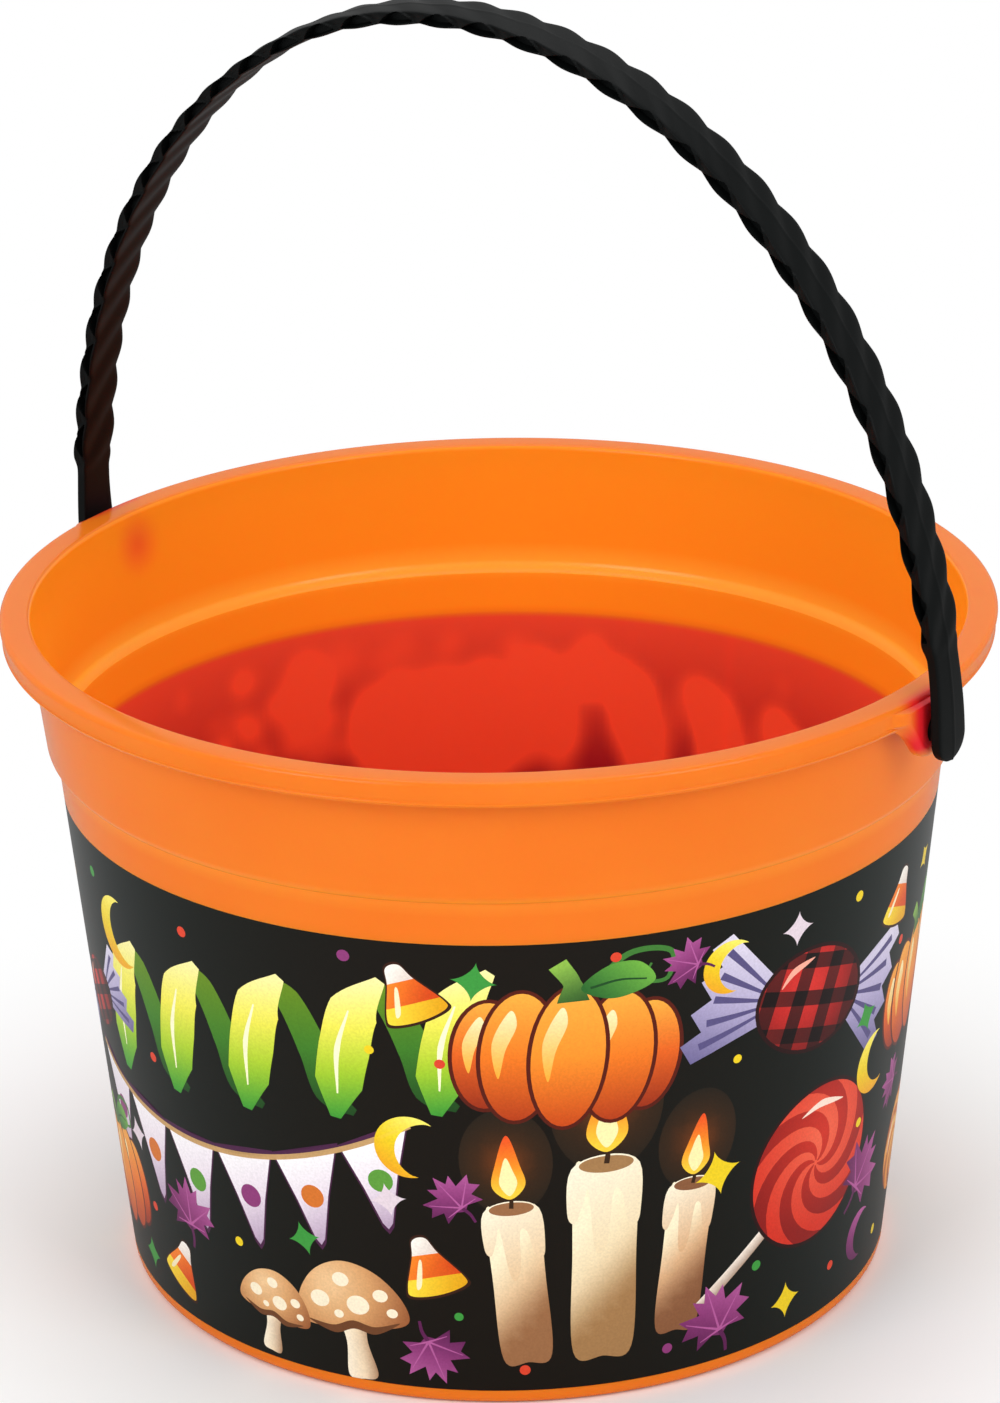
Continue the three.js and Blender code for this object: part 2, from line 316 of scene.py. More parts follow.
def pail_profile():
    """The section's (radius, height) points, from the underside's middle to the inner floor's middle."""
    foot_outer = wall_radius(foot_round) - foot_round
    under_edge = (foot_outer - foot_width - floor_lift, floor_lift)
    recess = label_thickness + label_gap
    recess_low, recess_high = label_bottom - label_gap, label_top + label_gap
    lip_foot = bucket_height - lip_depth
    inner_top = collar_radius(bucket_height) - wall_thickness
    rim_under = bucket_height - rim_thickness
    inner_shoulder = shoulder(wall_thickness)
    floor_corner = arc(wall_radius(inner_floor) - wall_thickness - floor_round, inner_floor + floor_round,
                       floor_round, 0, -90)
    window_top = label_top - window_ease
    window_edge = (wall_radius(window_top) - wall_thickness, window_top)
    return [
        (0, floor_lift + gate_depth),
        (gate_radius - gate_depth, floor_lift + gate_depth),
        (gate_radius, floor_lift),
        *rows((gate_radius, floor_lift), under_edge, under_spacing),
        under_edge,
        (foot_outer - foot_width, 0),
        *arc(foot_outer, foot_round, foot_round, -90, 0),
        (wall_radius(recess_low), recess_low),
        (wall_radius(recess_low) - recess, recess_low),
        (wall_radius(recess_high) - recess, recess_high),
        (wall_radius(recess_high), recess_high),
        *rows((wall_radius(recess_high), recess_high), shoulder(0)[0], step_spacing),
        *shoulder(0),
        *rows((collar_foot_radius, shoulder_top), (collar_radius(rim_under), rim_under), outer_spacing),
        (collar_radius(rim_under), rim_under),
        (lip_inner, rim_under),
        (lip_inner, lip_foot),
        (rim_radius - lip_taper - lip_edge_round, lip_foot),
        *arc(rim_radius - lip_taper, lip_foot + lip_bead / 2, lip_bead_proud, -60, 60, 6),
        (rim_radius - lip_taper, lip_foot + lip_bead + bead_foot),
        *arc(rim_radius - rim_round, bucket_height - rim_round, rim_round, 0, 90),
        *arc(inner_top + rim_round, bucket_height - rim_round, rim_round, 90, 180),
        *rows((inner_top, bucket_height - rim_round), inner_shoulder[-1], outer_spacing),
        *reversed(inner_shoulder),
        *rows(inner_shoulder[0], window_edge, inner_spacing),
        window_edge,
        *rows(window_edge, floor_corner[0], window_spacing),
        *floor_corner,
        *rows(floor_corner[-1], (0, inner_floor), floor_spacing),
        (0, inner_floor),
    ]


profile = pail_profile()
print(len(profile), "points in the section")

# %% [markdown]
# The section is turned round the axis, the natural way to make a round moulding. The number of steps keeps
# the rim's outline smooth in a close view.

# %% Turn the section
round_steps = 384


def turned_mesh(name, profile, steps):
    """Turns a closed (radius, height) profile round Z. Points on the axis become one vertex each."""
    vertices, ring_start = [], []
    for radius, z in profile:
        ring_start.append(len(vertices))
        count = 1 if radius < 1e-6 else steps
        for j in range(count):
            turn = 2 * math.pi * j / steps
            vertices.append((radius * math.cos(turn) * mm, radius * math.sin(turn) * mm, z * mm))
    faces = []
    for i in range(len(profile) - 1):
        low, high = ring_start[i], ring_start[i + 1]
        for j in range(steps):
            k = (j + 1) % steps
            if profile[i][0] < 1e-6:
                faces.append((low, high + k, high + j))
            elif profile[i + 1][0] < 1e-6:
                faces.append((low + j, low + k, high))
            else:
                faces.append((low + j, low + k, high + k, high + j))
    mesh = bpy.data.meshes.new(name)
    mesh.from_pydata(vertices, [], faces)
    return mesh


pail_mesh = turned_mesh("bucket_shell", profile, round_steps)
print(len(pail_mesh.polygons), "faces turned")

# %% [markdown]
# Two ears hang from the rim at its lip. The lip swings down into the ear's side, and its face stands a
# little proud, with soft edges. So the ear is drawn as rings of points that lead from a wide outline behind
# to a narrower one in front.

# %% Ears
ear_low = pivot_height - ear_below_pivot
ear_below_rim = 0.5
ear_sunk = 0.1
ear_ease_start, ear_ease_height = 5.0, 4.0
ear_edge_depth = 2.0
ear_edge_steps = 12


def through_points(a, b, c, d, steps):
    """Smooth curves from each point b to the next, c, steered by the points before and after, a and d."""
    t = np.linspace(0, 1, steps, endpoint=False)[None, :, None]
    a, b, c, d = [points[:, None, :] for points in (a, b, c, d)]
    curve = 0.5 * (2 * b + (c - a) * t + (2 * a - 5 * b + 4 * c - d) * t ** 2
                   + (3 * b - a - 3 * c + d) * t ** 3)
    return curve.reshape(-1, 2)


def mesh_from(work, name):
    """Writes an edited mesh out under a name."""
    mesh = bpy.data.meshes.new(name)
    work.to_mesh(mesh)
    work.free()
    return mesh


def ear_mesh():
    """Both ears: a back plane, soft edges and a flat face, drawn facing along X and copied across."""
    low, top = ear_low, bucket_height - ear_below_rim
    # half outlines (y, z) from the lowest point up to the top: behind, and of the flat face in front
    wide = [(0, low), (2.4, low + 0.45), (4.5, low + 1.9), (6.0, low + 3.7), (7.6, low + 5.6),
            (9.6, low + 7.3), (12.2, low + 8.8), (16.0, low + 9.8), (16.0, top)]
    narrow = [(0, low + 2.2), (2.2, low + 2.6), (4.0, low + 3.7), (5.2, low + 5.0), (6.2, low + 6.6),
              (7.4, low + 8.1), (8.6, low + 9.4), (9.2, low + 10.6), (9.2, top - 0.8)]
    back = lip_inner + ear_sunk
    half_lines = []
    for points in (wide, narrow):
        line = np.array(points[:-1], float)
        ahead = np.concatenate([[line[1] * (-1, 1)], line, [2 * line[-1] - line[-2]]])
        curve = through_points(*[ahead[i:len(line) - 1 + i] for i in range(4)], steps=6)
        half_lines.append(np.concatenate([curve, line[-1:], [points[-1]]]))
    behind, front = [np.concatenate([half * (-1, 1), half[:0:-1]])[::-1] for half in half_lines]
    # the free lower edge is a quarter round, and the sides ease out of the lip in a soft double bend
    eased = np.clip((behind[:, 1] - low - ear_ease_start) / ear_ease_height, 0, 1)[:, None]
    edge = ear_face - ear_edge_depth + (back - ear_face + ear_edge_depth) * eased
    rings = [np.column_stack([np.full(len(behind), back), behind])]
    for t in np.linspace(0, 1, ear_edge_steps + 1):
        inward = (1 - math.cos(t * math.pi / 2)) * (1 - eased) + t * eased
        forward = math.sin(t * math.pi / 2) * (1 - eased) + t * t * (3 - 2 * t) * eased
        outlines = [edge + (ear_face - edge) * forward, behind + (front - behind) * inward]
        rings.append(np.column_stack(outlines))
    work = bmesh.new()
    for side in (1, -1):
        placed = [[work.verts.new((side * x * mm, side * y * mm, z * mm)) for x, y, z in ring]
                  for ring in rings]
        work.faces.new(placed[0])
        work.faces.new(reversed(placed[-1]))
        for near, far in zip(placed, placed[1:]):
            for i in range(len(near)):
                j = (i + 1) % len(near)
                work.faces.new((near[j], near[i], far[i], far[j]))
    bmesh.ops.recalc_face_normals(work, faces=work.faces)
    return mesh_from(work, "ears")


ears = new_object("ears", ear_mesh())
print(len(ears.data.polygons), "faces in the ears")

# %% [markdown]
# Each ear has a round hole for the bail's pin. Boolean modifiers join the ears to the turned shell and cut
# the holes, because they find the exact edge where two such forms meet.

# %% Join the ears and cut their pin holes
def pin_holes_mesh():
    """The two pin holes as plain round bars along the pivot axis."""
    radius = pin_radius + pin_clearance
    start, end = lip_inner - 1, ear_face + 2
    work = bmesh.new()
    for side in (1, -1):
        place = Matrix.Translation((side * (start + end) / 2 * mm, 0, pivot_height * mm))
        turned = Matrix.Rotation(math.pi / 2, 4, "Y")
        bmesh.ops.create_cone(work, cap_ends=True, segments=64, radius1=radius * mm, radius2=radius * mm,
                              depth=(end - start) * mm, matrix=place @ turned)
    return mesh_from(work, "pin_holes")


def applied(piece):
    """A new mesh with the piece's modifiers worked in. The piece itself loses them."""
    evaluated = piece.evaluated_get(bpy.context.evaluated_depsgraph_get())
    mesh = bpy.data.meshes.new_from_object(evaluated)
    piece.modifiers.clear()
    return mesh


shell = new_object("shell_blank", pail_mesh)
pin_holes = new_object("pin_holes", pin_holes_mesh())
for tool, operation in ((ears, "UNION"), (pin_holes, "DIFFERENCE")):
    cut = shell.modifiers.new(tool.name, "BOOLEAN")
    cut.object = tool
    cut.operation = operation
    cut.solver = "EXACT"
body_mesh = applied(shell)
for spare in (shell, ears, pin_holes):
    bpy.data.objects.remove(spare)
body_mesh.name = "bucket_body_fine"
print(len(body_mesh.polygons), "faces after the ears")

# %% [markdown]
# The print is drawn flat first, as a printer would: closed outlines laid over each other, lowest first,
# each with its own ink. Outlines come from three small tools: a smooth curve through a few points, a brush
# stroke along such a curve, and a cut along a straight line. An ink is one colour, or a fade along a line or
# out from a middle. One panel is half the way round the pail, and the film carries it twice.

# %% Drawing tools for the print
panel_width = math.pi * wall_radius((label_bottom + label_top) / 2)
panel_start = -85.0
design = []


def smooth(points, closed=True, steps=8):
    """One smooth curve through all the points."""
    points = np.asarray(points, float)
    if closed:
        return through_points(*[np.roll(points, shift, axis=0) for shift in (1, 0, -1, -2)], steps)
    wide = np.concatenate([[2 * points[0] - points[1]], points, [2 * points[-1] - points[-2]]])
    curve = through_points(*[wide[i:len(wide) - 3 + i] for i in range(4)], steps)
    return np.concatenate([curve, points[-1:]])


def stroke(points, widths, steps=8):
    """Outline of a brush stroke along a smooth open path, with its width at even steps along it."""
    path = smooth(points, closed=False, steps=steps)
    tangent = np.gradient(path, axis=0)
    tangent /= np.linalg.norm(tangent, axis=1)[:, None]
    side = np.stack([-tangent[:, 1], tangent[:, 0]], axis=1)
    half = np.interp(np.linspace(0, 1, len(path)), np.linspace(0, 1, len(widths)), widths)[:, None] / 2
    return np.concatenate([path + side * half, (path - side * half)[::-1]])


def oval(x, y, rx, ry, count=40, start=0, end=360):
    """Points round an oval, or along the part of it between two angles in degrees."""
    turn = np.radians(np.linspace(start, end, count, endpoint=end - start < 360))
    return np.stack([x + rx * np.cos(turn), y + ry * np.sin(turn)], axis=1)


def clipped(outline, point, normal):
    """The part of a closed outline on the normal's side of a line through a point."""
    kept = []
    height = (outline - np.asarray(point, float)) @ np.asarray(normal, float)
    for i in range(len(outline)):
        j = (i + 1) % len(outline)
        if height[i] >= 0:
            kept.append(outline[i])
        if (height[i] >= 0) != (height[j] >= 0):
            share = height[i] / (height[i] - height[j])
            kept.append(outline[i] + share * (outline[j] - outline[i]))
    return np.array(kept)


def band(outline, centre, half_width, normal):
    """The part of a closed outline in a straight band across it."""
    centre, normal = np.array(centre, float), np.array(normal, float)
    kept = clipped(outline, centre - half_width * normal, normal)
    return clipped(kept, centre + half_width * normal, -normal)


def flat(ink):
    """One ink all over."""
    colour = np.array(linear(ink)[:3])
    return lambda points: np.broadcast_to(colour, (len(points), 3))


def blended(inks, share):
    """A row of inks read at shares from 0 to 1, mixed in steps that look even to the eye."""
    gamma = 2.2
    stops = np.array([linear(ink)[:3] for ink in inks]) ** (1 / gamma)
    share = np.clip(share, 0, 1) * (len(stops) - 1)
    mixed = [np.interp(share, range(len(stops)), stops[:, channel]) for channel in range(3)]
    return np.stack(mixed, axis=1) ** gamma


def fade(inks, start, end):
    """Inks that change evenly from one point to another."""
    start, run = np.asarray(start, float), np.subtract(end, start)
    return lambda points: blended(inks, (points - start) @ run / (run @ run))


def halo(inks, centre, radius):
    """Inks that change evenly from a middle outwards."""
    return lambda points: blended(inks, np.linalg.norm(points - np.asarray(centre), axis=1) / radius)


def paint(outline, ink, spot):
    """Lays a closed outline, drawn in its motif's own millimetres, at a spot (x, y, turn, size)."""
    outline = np.asarray(outline, float)
    ahead = np.roll(outline, -1, axis=0)
    if np.sum(outline[:, 0] * ahead[:, 1] - outline[:, 1] * ahead[:, 0]) < 0:
        outline = outline[::-1]  # the triangulation takes a counter-clockwise outline's inside
    design.append((outline, ink if callable(ink) else flat(ink), spot))

# %% [markdown]
# Each motif is a small function that draws at its own zero point, in its own millimetres, and its spot says
# where it lies on the panel, how far it is turned and how large it is. So one drawing serves at any place
# and size. The motifs are plain seasonal ones of this lesson's own, and each is laid on as a sign painter
# would: dark outline, body, shade and light. Pumpkins and candles are the largest.

# %% Pumpkin and candle
green, yellow, pale, red, plum = "#3d9a3f", "#f2d21b", "#e6d6e0", "#e0442a", "#8f3a78"


def pumpkin(spot):
    """A plain ribbed pumpkin 34 mm wide, with a curled vine."""
    vine = stroke([(2, 12), (8, 19), (15, 19), (15, 14), (11, 14), (12, 17)], [1.2, 1.0, 0.7, 0.4])
    paint(vine, "#3f7d33", spot)
    outer, inner, middle = ("#9c2f10", "#e8641a"), ("#b53c10", "#f47c1c"), ("#c9480f", "#fb9226")
    for x, rx, ry, (low, high) in ((13, 5.5, 10, outer), (-13, 5.5, 10, outer), (8, 6, 12, inner),
                                   (-8, 6, 12, inner), (0, 6, 13, middle)):
        paint(oval(x, 0, rx + 0.7, ry + 0.7), "#5a1a0c", spot)
        paint(oval(x, 0, rx, ry), fade((low, high, "#fdb040"), (x, -ry), (x - 1, ry)), spot)
        shine = smooth([(x - rx * 0.5, -ry * 0.35), (x - rx * 0.72, ry * 0.2), (x - rx * 0.3, ry * 0.72),
                        (x - rx * 0.1, ry * 0.5), (x - rx * 0.35, ry * 0.1)])
        paint(shine, fade(("#fbb03b", "#fff0b8"), (x, -ry * 0.3), (x, ry * 0.7)), spot)
    stem = stroke([(0, 10.5), (-0.5, 14), (-3, 17.5)], [5.2, 2.8, 3.2])
    paint(stem, fade(("#2f5a26", "#8fbf4a"), (0, 10), (-3, 17)), spot)
    leaf = smooth([(1, 13), (5, 17), (10, 17.5), (13, 14), (9, 11.5), (5, 11)])
    paint(leaf, fade(("#2c6b2c", "#74b843"), (4, 11), (10, 18)), spot)
    paint(stroke([(2.5, 13), (7, 14.3), (11.5, 14.2)], [0.5, 0.3]), "#1f4d22", spot)


def candle(spot, wax, shade):
    """A burning candle 40 mm high, with wax run down its side."""
    paint(oval(0, 27, 9, 12), halo(("#7a3a10", "#3a2412", "#241d14"), (0, 27), 12), spot)
    side = smooth([(-5, -18), (0, -19.2), (5, -18), (5.3, 0), (5, 15), (2, 16.5), (-2, 15.5), (-5, 16.5),
                   (-5.3, 0)])
    paint(side, fade((shade, wax, "#fff3cf"), (5, -6), (-5, 4)), spot)
    runs = smooth([(-5.6, 16), (-6.2, 8), (-5, 6), (-3.8, 9), (-2.8, 12), (-1.8, 2), (-0.6, 0), (0.6, 3),
                   (1.2, 11), (2.6, 11), (3.6, 6), (4.8, 4.5), (5.8, 7), (5.4, 16), (0, 18.2)], steps=5)
    paint(runs, fade((wax, "#fff6dc"), (4, 2), (-3, 18)), spot)
    paint(oval(0, 16.4, 4.4, 1.5), shade, spot)
    paint(stroke([(0, 16.5), (0.2, 18.5), (0, 20.5)], [0.9, 0.7]), "#3a2412", spot)
    flame = smooth([(0, 18.6), (3.2, 21.5), (2.6, 26), (0.6, 33), (-2.2, 26.5), (-3.2, 21.5)])
    paint(flame, fade(("#f04e1c", "#fb8c1e", "#ffd23a"), (0, 33), (0, 20)), spot)
    paint(smooth([(0, 19.4), (1.7, 22), (1.1, 25), (0, 28), (-1.2, 25), (-1.7, 22)]), "#fff4b0", spot)

# %% [markdown]
# Sweets are the bright middle sizes. Stripes and checks are bands cut from one outline, so that their ends
# follow its edge.

# %% Sweets
def candy_corn(spot):
    """A sweet in three bands, 16 mm high."""
    body = smooth([(-6.6, -7), (0, -8), (6.6, -7), (7, -4.4), (3.2, 3), (1.6, 7.2), (-1.6, 7.2), (-3.2, 3),
                   (-7, -4.4)])
    paint(body * 1.09, "#3a1d10", spot)
    paint(body, fade(("#e8a712", "#ffdf3a"), (5, -8), (-5, -3)), spot)
    paint(clipped(body, (0, -3.2), (0.08, 1)), fade(("#d9480f", "#ff8a24"), (4, -3), (-3, 3)), spot)
    paint(clipped(body, (0, 3.0), (0.08, 1)), fade(("#e9d9cf", "#fffaf0"), (2, 3), (-1, 7)), spot)
    paint(smooth([(-4.8, -5.6), (-4.6, -4), (-2, 1.6), (-1.4, 1), (-3.4, -4.4)]), "#fff1c4", spot)


def wrapped_sweet(spot):
    """A wrapped sweet 58 mm long: a checked middle and two pleated paper fans."""
    for side in (-1, 1):
        rim = [(side * (24 + 3.2 * (k % 2)), y) for k, y in enumerate(np.linspace(-13, 13, 9))]
        fan = np.array([(side * 9, -3), *rim, (side * 9, 3)])
        paint(fan, fade(("#6f6796", "#b7aed2", "#e6e0f0"), (side * 24, -13), (side * 20, 13)), spot)
        for y in np.linspace(-9.5, 9.5, 5):
            paint(stroke([(side * 12, y * 0.25), (side * 23.5, y)], [0.5, 1.5]), "#5a5282", spot)
        paint(oval(side * 10.5, 0, 2.2, 4.6), "#8f86b4", spot)
    middle = oval(0, 0, 13.2, 10.2)
    paint(oval(0, 0, 14, 11), "#2a0d0e", spot)
    paint(middle, halo(("#e2332b", "#c2231f", "#7c1414"), (-3, 3), 15), spot)
    check_spacing, upright_half, level_half, bar_inks = 7.4, 1.7, 1.5, ("#3c0f10", "#6d1715")
    uprights = np.arange(-11, 12, check_spacing)
    for x in uprights:
        bar = band(middle, (x, 0), upright_half, (1, 0))
        paint(bar, fade(bar_inks, (0, -10), (0, 10)), spot)
    for y in uprights[:-1] + check_spacing / 2:
        bar = band(middle, (0, y), level_half, (0, 1))
        paint(bar, fade(bar_inks, (12, 0), (-12, 0)), spot)
        for x in uprights:
            both = band(bar, (x, 0), upright_half, (1, 0))
            if len(both) > 2:
                paint(both, "#17090a", spot)
    paint(smooth([(-9, 2), (-7.6, 6), (-3, 8.2), (-4, 7), (-7, 4.6)]), "#ffb09a", spot)


def lollipop(spot, inks):
    """A round spiral lollipop, 36 mm across, on a stick."""
    stick = stroke([(0, -16), (0.6, -38)], [2.6, 2.6])
    paint(stick, fade(("#b59a86", "#fff4e6"), (1.4, 0), (-1.2, 0)), spot)
    dark, mid, light = inks
    sweet_radius, rim_width, arms, twist, arm_turn = 17.6, 0.8, 6, 2.2, 0.52
    paint(oval(0, 0, sweet_radius + rim_width, sweet_radius + rim_width, 60), "#2a0b0b", spot)
    paint(oval(0, 0, sweet_radius, sweet_radius, 60), halo((light, mid), (-4, 5), 22), spot)
    radii = np.linspace(0.6, sweet_radius, 16)
    for k in range(arms):
        turn = k * math.pi / 3 + radii / sweet_radius * twist
        near, far = [np.stack([radii * np.cos(t), radii * np.sin(t)], axis=1)
                     for t in (turn, turn + arm_turn)]
        ends = oval(0, 0, sweet_radius, sweet_radius, 8, math.degrees(turn[-1]),
                    math.degrees(turn[-1] + arm_turn))
        paint(np.concatenate([near, ends[1:-1], far[::-1]]), halo((mid, dark), (-4, 5), 21), spot)
    paint(smooth([(-13, 3), (-11, 9), (-5, 13.2), (-6.4, 11.4), (-10.4, 7.2)]), "#ffe3d0", spot)

# %% [markdown]
# Moons, leaves, stars and dots are small fillers, which a designer scatters so that no dark patch is left.

# %% Small fillers
def moon(spot, inks):
    """A crescent moon 24 mm high."""
    outer = oval(0, 0, 12, 12, 36, 62, 298)
    inner = oval(6.2, 0, 11.0, 10.9, 30, 104, 256)[::-1]
    paint(np.concatenate([outer, inner]), fade(inks, (-8, -11), (0, 11)), spot)


def leaf(spot, inks):
    """A five-pointed autumn leaf 20 mm across."""
    half = [(0, 11), (1.8, 6.6), (4.6, 8.6), (4.0, 4.0), (9.8, 5.2), (8.0, 2.2), (10.6, -0.4), (6.0, -1.4),
            (7.6, -5.4), (2.4, -3.8), (0.5, -5.0)]
    outline = np.array(half + [(-x, y) for x, y in half[::-1]][:-1])
    paint(outline, fade(inks, (-6, -6), (6, 9)), spot)
    paint(stroke([(0, -10.5), (0.6, -7), (0, -3.5)], [0.9, 1.1, 1.3]), inks[0], spot)
    for tip in ((0, 9.2), (8.2, 3.6), (-8.2, 3.6), (6, -3.6), (-6, -3.6)):
        paint(stroke([(0, -3.4), tip], [0.7, 0.2]), inks[-1], spot)


def sparkle(spot, ink):
    """A four-pointed star with hollow sides, 10 mm from tip to tip (an astroid)."""
    turn = np.linspace(0, 2 * math.pi, 48, endpoint=False)
    paint(np.stack([5 * np.cos(turn) ** 3, 5 * np.sin(turn) ** 3], axis=1), ink, spot)


def dot(x, y, size, ink):
    """A round speck of confetti."""
    paint(oval(0, 0, size / 2, size / 2, 16), ink, (x, y, 0, 1))

# %% [markdown]
# Pennants and a curled ribbon run across the panel and tie its motifs together. Both repeat one shape along
# a line, so they are loops. Mushrooms stand at their foot.

# %% Pennants, ribbon and mushroom
def pennants(spot, count=6):
    """Paper pennants on a sagging string."""
    half_span, sag_depth, flag_drop = 40, 9, 17.5
    sag = [(x, sag_depth * (x / half_span) ** 2) for x in np.linspace(-half_span, half_span, count * 2 + 1)]
    for k in range(count):
        left, right_end = np.array(sag[2 * k]), np.array(sag[2 * k + 2])
        tip = (left + right_end) / 2 - (0, flag_drop)
        flag = np.array([left + (0.6, 0), (left * 0.5 + tip * 0.5) + (0.2, 0.3), tip + (-0.9, 1.2),
                         tip, tip + (0.9, 1.2), (right_end * 0.5 + tip * 0.5) + (-0.2, 0.3),
                         right_end - (0.6, 0)])
        middle = flag.mean(axis=0)
        paint((flag - middle) * 1.12 + middle, "#4d2347", spot)
        paint(flag, fade(("#b9a0bd", "#efe3ee", "#ffffff"), tip, left), spot)
        paint(oval(*(middle + (0, 1.5)), 2.2, 2.2, 20), (plum, "#d8752a", "#5f9e3c")[k % 3], spot)
    paint(stroke(sag, [1.0, 1.0], 4), "#c9a06a", spot)


def curled_ribbon(spot, waves=5):
    """A curled paper ribbon: bright faces in front, dark ones behind, as a spring of tape lies."""
    pitch, rise, tape = 19.0, 13.0, 9.0
    first = -pitch * waves / 2
    for k in range(waves):
        x = first + k * pitch
        back = stroke([(x + 7.5, rise), (x + 11.5, rise - 3), (x + 14.5, 0), (x + 15.5, -rise + 4),
                       (x + 20, -rise)], [1.5, tape * 0.6, tape * 0.7, tape * 0.6, 1.5])
        paint(back, fade(("#1d4a1c", "#3f7f24", "#6b8f1a"), (x, -rise), (x, rise)), spot)
    for k in range(waves + 1):
        x = first + k * pitch
        front = stroke([(x - 3, -rise - 1), (x - 1, -rise + 6), (x + 1.5, 0), (x + 5, rise - 5),
                        (x + 11, rise + 1)], [2, tape, tape * 1.05, tape, 2])
        paint(front, fade(("#3d9a35", "#a8cf2b", "#f4ec55", "#fdf6a8"), (x, -rise - 1), (x, rise + 1)), spot)
        shine = stroke([(x - 1.6, -rise + 4), (x + 0.2, 0), (x + 4, rise - 5)], [0.3, 1.1, 0.3])
        paint(shine, "#fffbd0", spot)


def mushroom(spot):
    """A toadstool 30 mm high with a spotted tan cap."""
    foot = smooth([(-3.4, -14), (0, -15), (3.6, -14), (2.6, -6), (3.0, 2), (-3.0, 2), (-2.4, -6)])
    paint(foot, fade(("#a67c5c", "#f6dfbd", "#fff3da"), (4, 0), (-3, 0)), spot)
    cap = smooth([(-13, -1), (-12, 5), (-7, 11), (0, 13.5), (7, 11), (12, 5), (13, -1), (7, -2.6), (0, -1.4),
                  (-7, -2.6)])
    paint(cap, halo(("#f7cf9c", "#dca36b", "#9c5c34"), (-4, 8), 19), spot)
    under = smooth([(-11, -1.2), (-5, -2.2), (0, -0.8), (5, -2.2), (11, -1.2), (5, -4), (0, -2.8), (-5, -4)])
    paint(under, "#6f4327", spot)
    for x, y, r in ((-7, 4, 2.0), (-1, 9, 1.7), (2, 3, 2.3), (7.6, 5.4, 1.5), (-3, 0.6, 1.0),
                    (9.6, 1.2, 1.1)):
        paint(oval(x, y, r * 1.15, r, 20), "#fff2d4", spot)

# %% [markdown]
# The composition is a list of motifs with their spots: x and y in millimetres on the panel, a turn in
# degrees and a size. The order matters, because what is laid down later covers what was there. The large
# motifs come first, then sweets, moons and leaves, and last stars and dots that fill the dark ground.

# %% Composition of one panel
purple = ("#5f1f52", plum, "#b65c9c")
gold = ("#f2a51c", yellow, "#fff06a")
curled_ribbon((84, 76, 8, 1.12), 4)
pennants((72, 47, 6, 1.22))
mushroom((104, 15, 7, 1.0))
mushroom((84, 12, -9, 0.72))
candle((141, 27, 5, 1.05), "#e9c79c", "#9c6b45")
candle((177, 29, -4, 0.98), "#dfb184", "#8a5a3a")
candle((159, 32, 0, 1.3), "#f3ddb4", "#a67c4e")
pumpkin((151, 79, -4, 1.22))
wrapped_sweet((206, 80, -16, 1.12))
lollipop((212, 39, -52, 1.05), ("#8f1510", "#d6301d", "#f7694a"))
pumpkin((23, 22, 9, 0.95))
pumpkin((254, 66, 7, 1.02))
lollipop((262, 24, 20, 0.72), ("#a0470d", "#ee8420", "#ffd070"))
wrapped_sweet((26, 66, 24, 0.74))
for spot in ((120, 94, 24, 0.86), (122, 30, 18, 0.9), (236, 92, -16, 0.8), (54, 12, -24, 0.85),
             (8, 92, 16, 0.8)):
    candy_corn(spot)
for *spot, inks in ((119, 58, -14, 0.6, gold), (232, 55, 16, 0.6, gold), (184, 94, -12, 0.5, gold),
                    (46, 88, 12, 0.66, gold), (235, 12, -8, 0.5, purple)):
    moon(spot, inks)
for spot in ((128, 46, 40, 0.62), (186, 10, 20, 0.86), (232, 28, -40, 0.9), (122, 9, 200, 0.74),
             (175, 97, 70, 0.55), (60, 27, 0, 0.8), (246, 44, 80, 0.6), (3, 44, -20, 0.8),
             (272, 96, 20, 0.8)):
    leaf(spot, purple)
for *spot, ink in ((184, 46, 12, 1.1, yellow), (133, 97, -8, 0.9, green), (114, 45, 10, 0.8, pale),
                   (226, 68, 20, 0.8, green), (200, 98, 0, 0.8, pale), (40, 38, 14, 0.8, pale),
                   (206, 8, 5, 0.9, yellow), (252, 94, 30, 0.7, yellow), (6, 4, 0, 0.8, yellow),
                   (38, 8, 0, 0.8, green), (94, 32, 16, 0.8, green)):
    sparkle(spot, ink)
for x, y, size, ink in (
        (36, 98, 2.4, green), (70, 97, 2.4, red), (108, 101, 2.6, plum), (160, 101, 2.2, red),
        (218, 99, 2.4, yellow), (126, 78, 2.2, red), (142, 5, 2.4, red), (196, 20, 2.4, green),
        (187, 72, 2.0, yellow), (222, 10, 2.2, red), (228, 42, 2.2, yellow), (174, 6, 2.4, plum),
        (76, 26, 2.2, yellow), (44, 22, 2.2, red), (10, 38, 2.4, green), (240, 80, 2.2, red),
        (246, 8, 2.4, yellow), (128, 18, 2.0, green), (112, 80, 2.0, yellow), (270, 44, 2.2, pale),
        (54, 62, 2.2, red)):
    dot(x, y, size, ink)
print(len(design), "outlines in one panel", round(panel_width, 1), "mm wide")

# %% [markdown]
# The flat drawing becomes one mesh: a constrained triangulation takes the film's edge, every outline and an
# even net of points, and says which outlines each triangle lies in. The last of them is the ink on top. So
# every edge of a motif is a real mesh edge and stays sharp at any distance.

# %% Triangulate the print
net_spacing = 3.0
welding = 1e-3


def rotated(points, degrees):
    """Flat points turned about zero."""
    c, s = math.cos(math.radians(degrees)), math.sin(math.radians(degrees))
    return points @ np.array([[c, s], [-s, c]])


def at_spot(outline, spot, shift):
    """A motif's outline on the film, turned, sized and moved."""
    x, y, degrees, size = spot
    return rotated(outline, degrees) * size + (x + panel_start + shift, y + label_bottom)


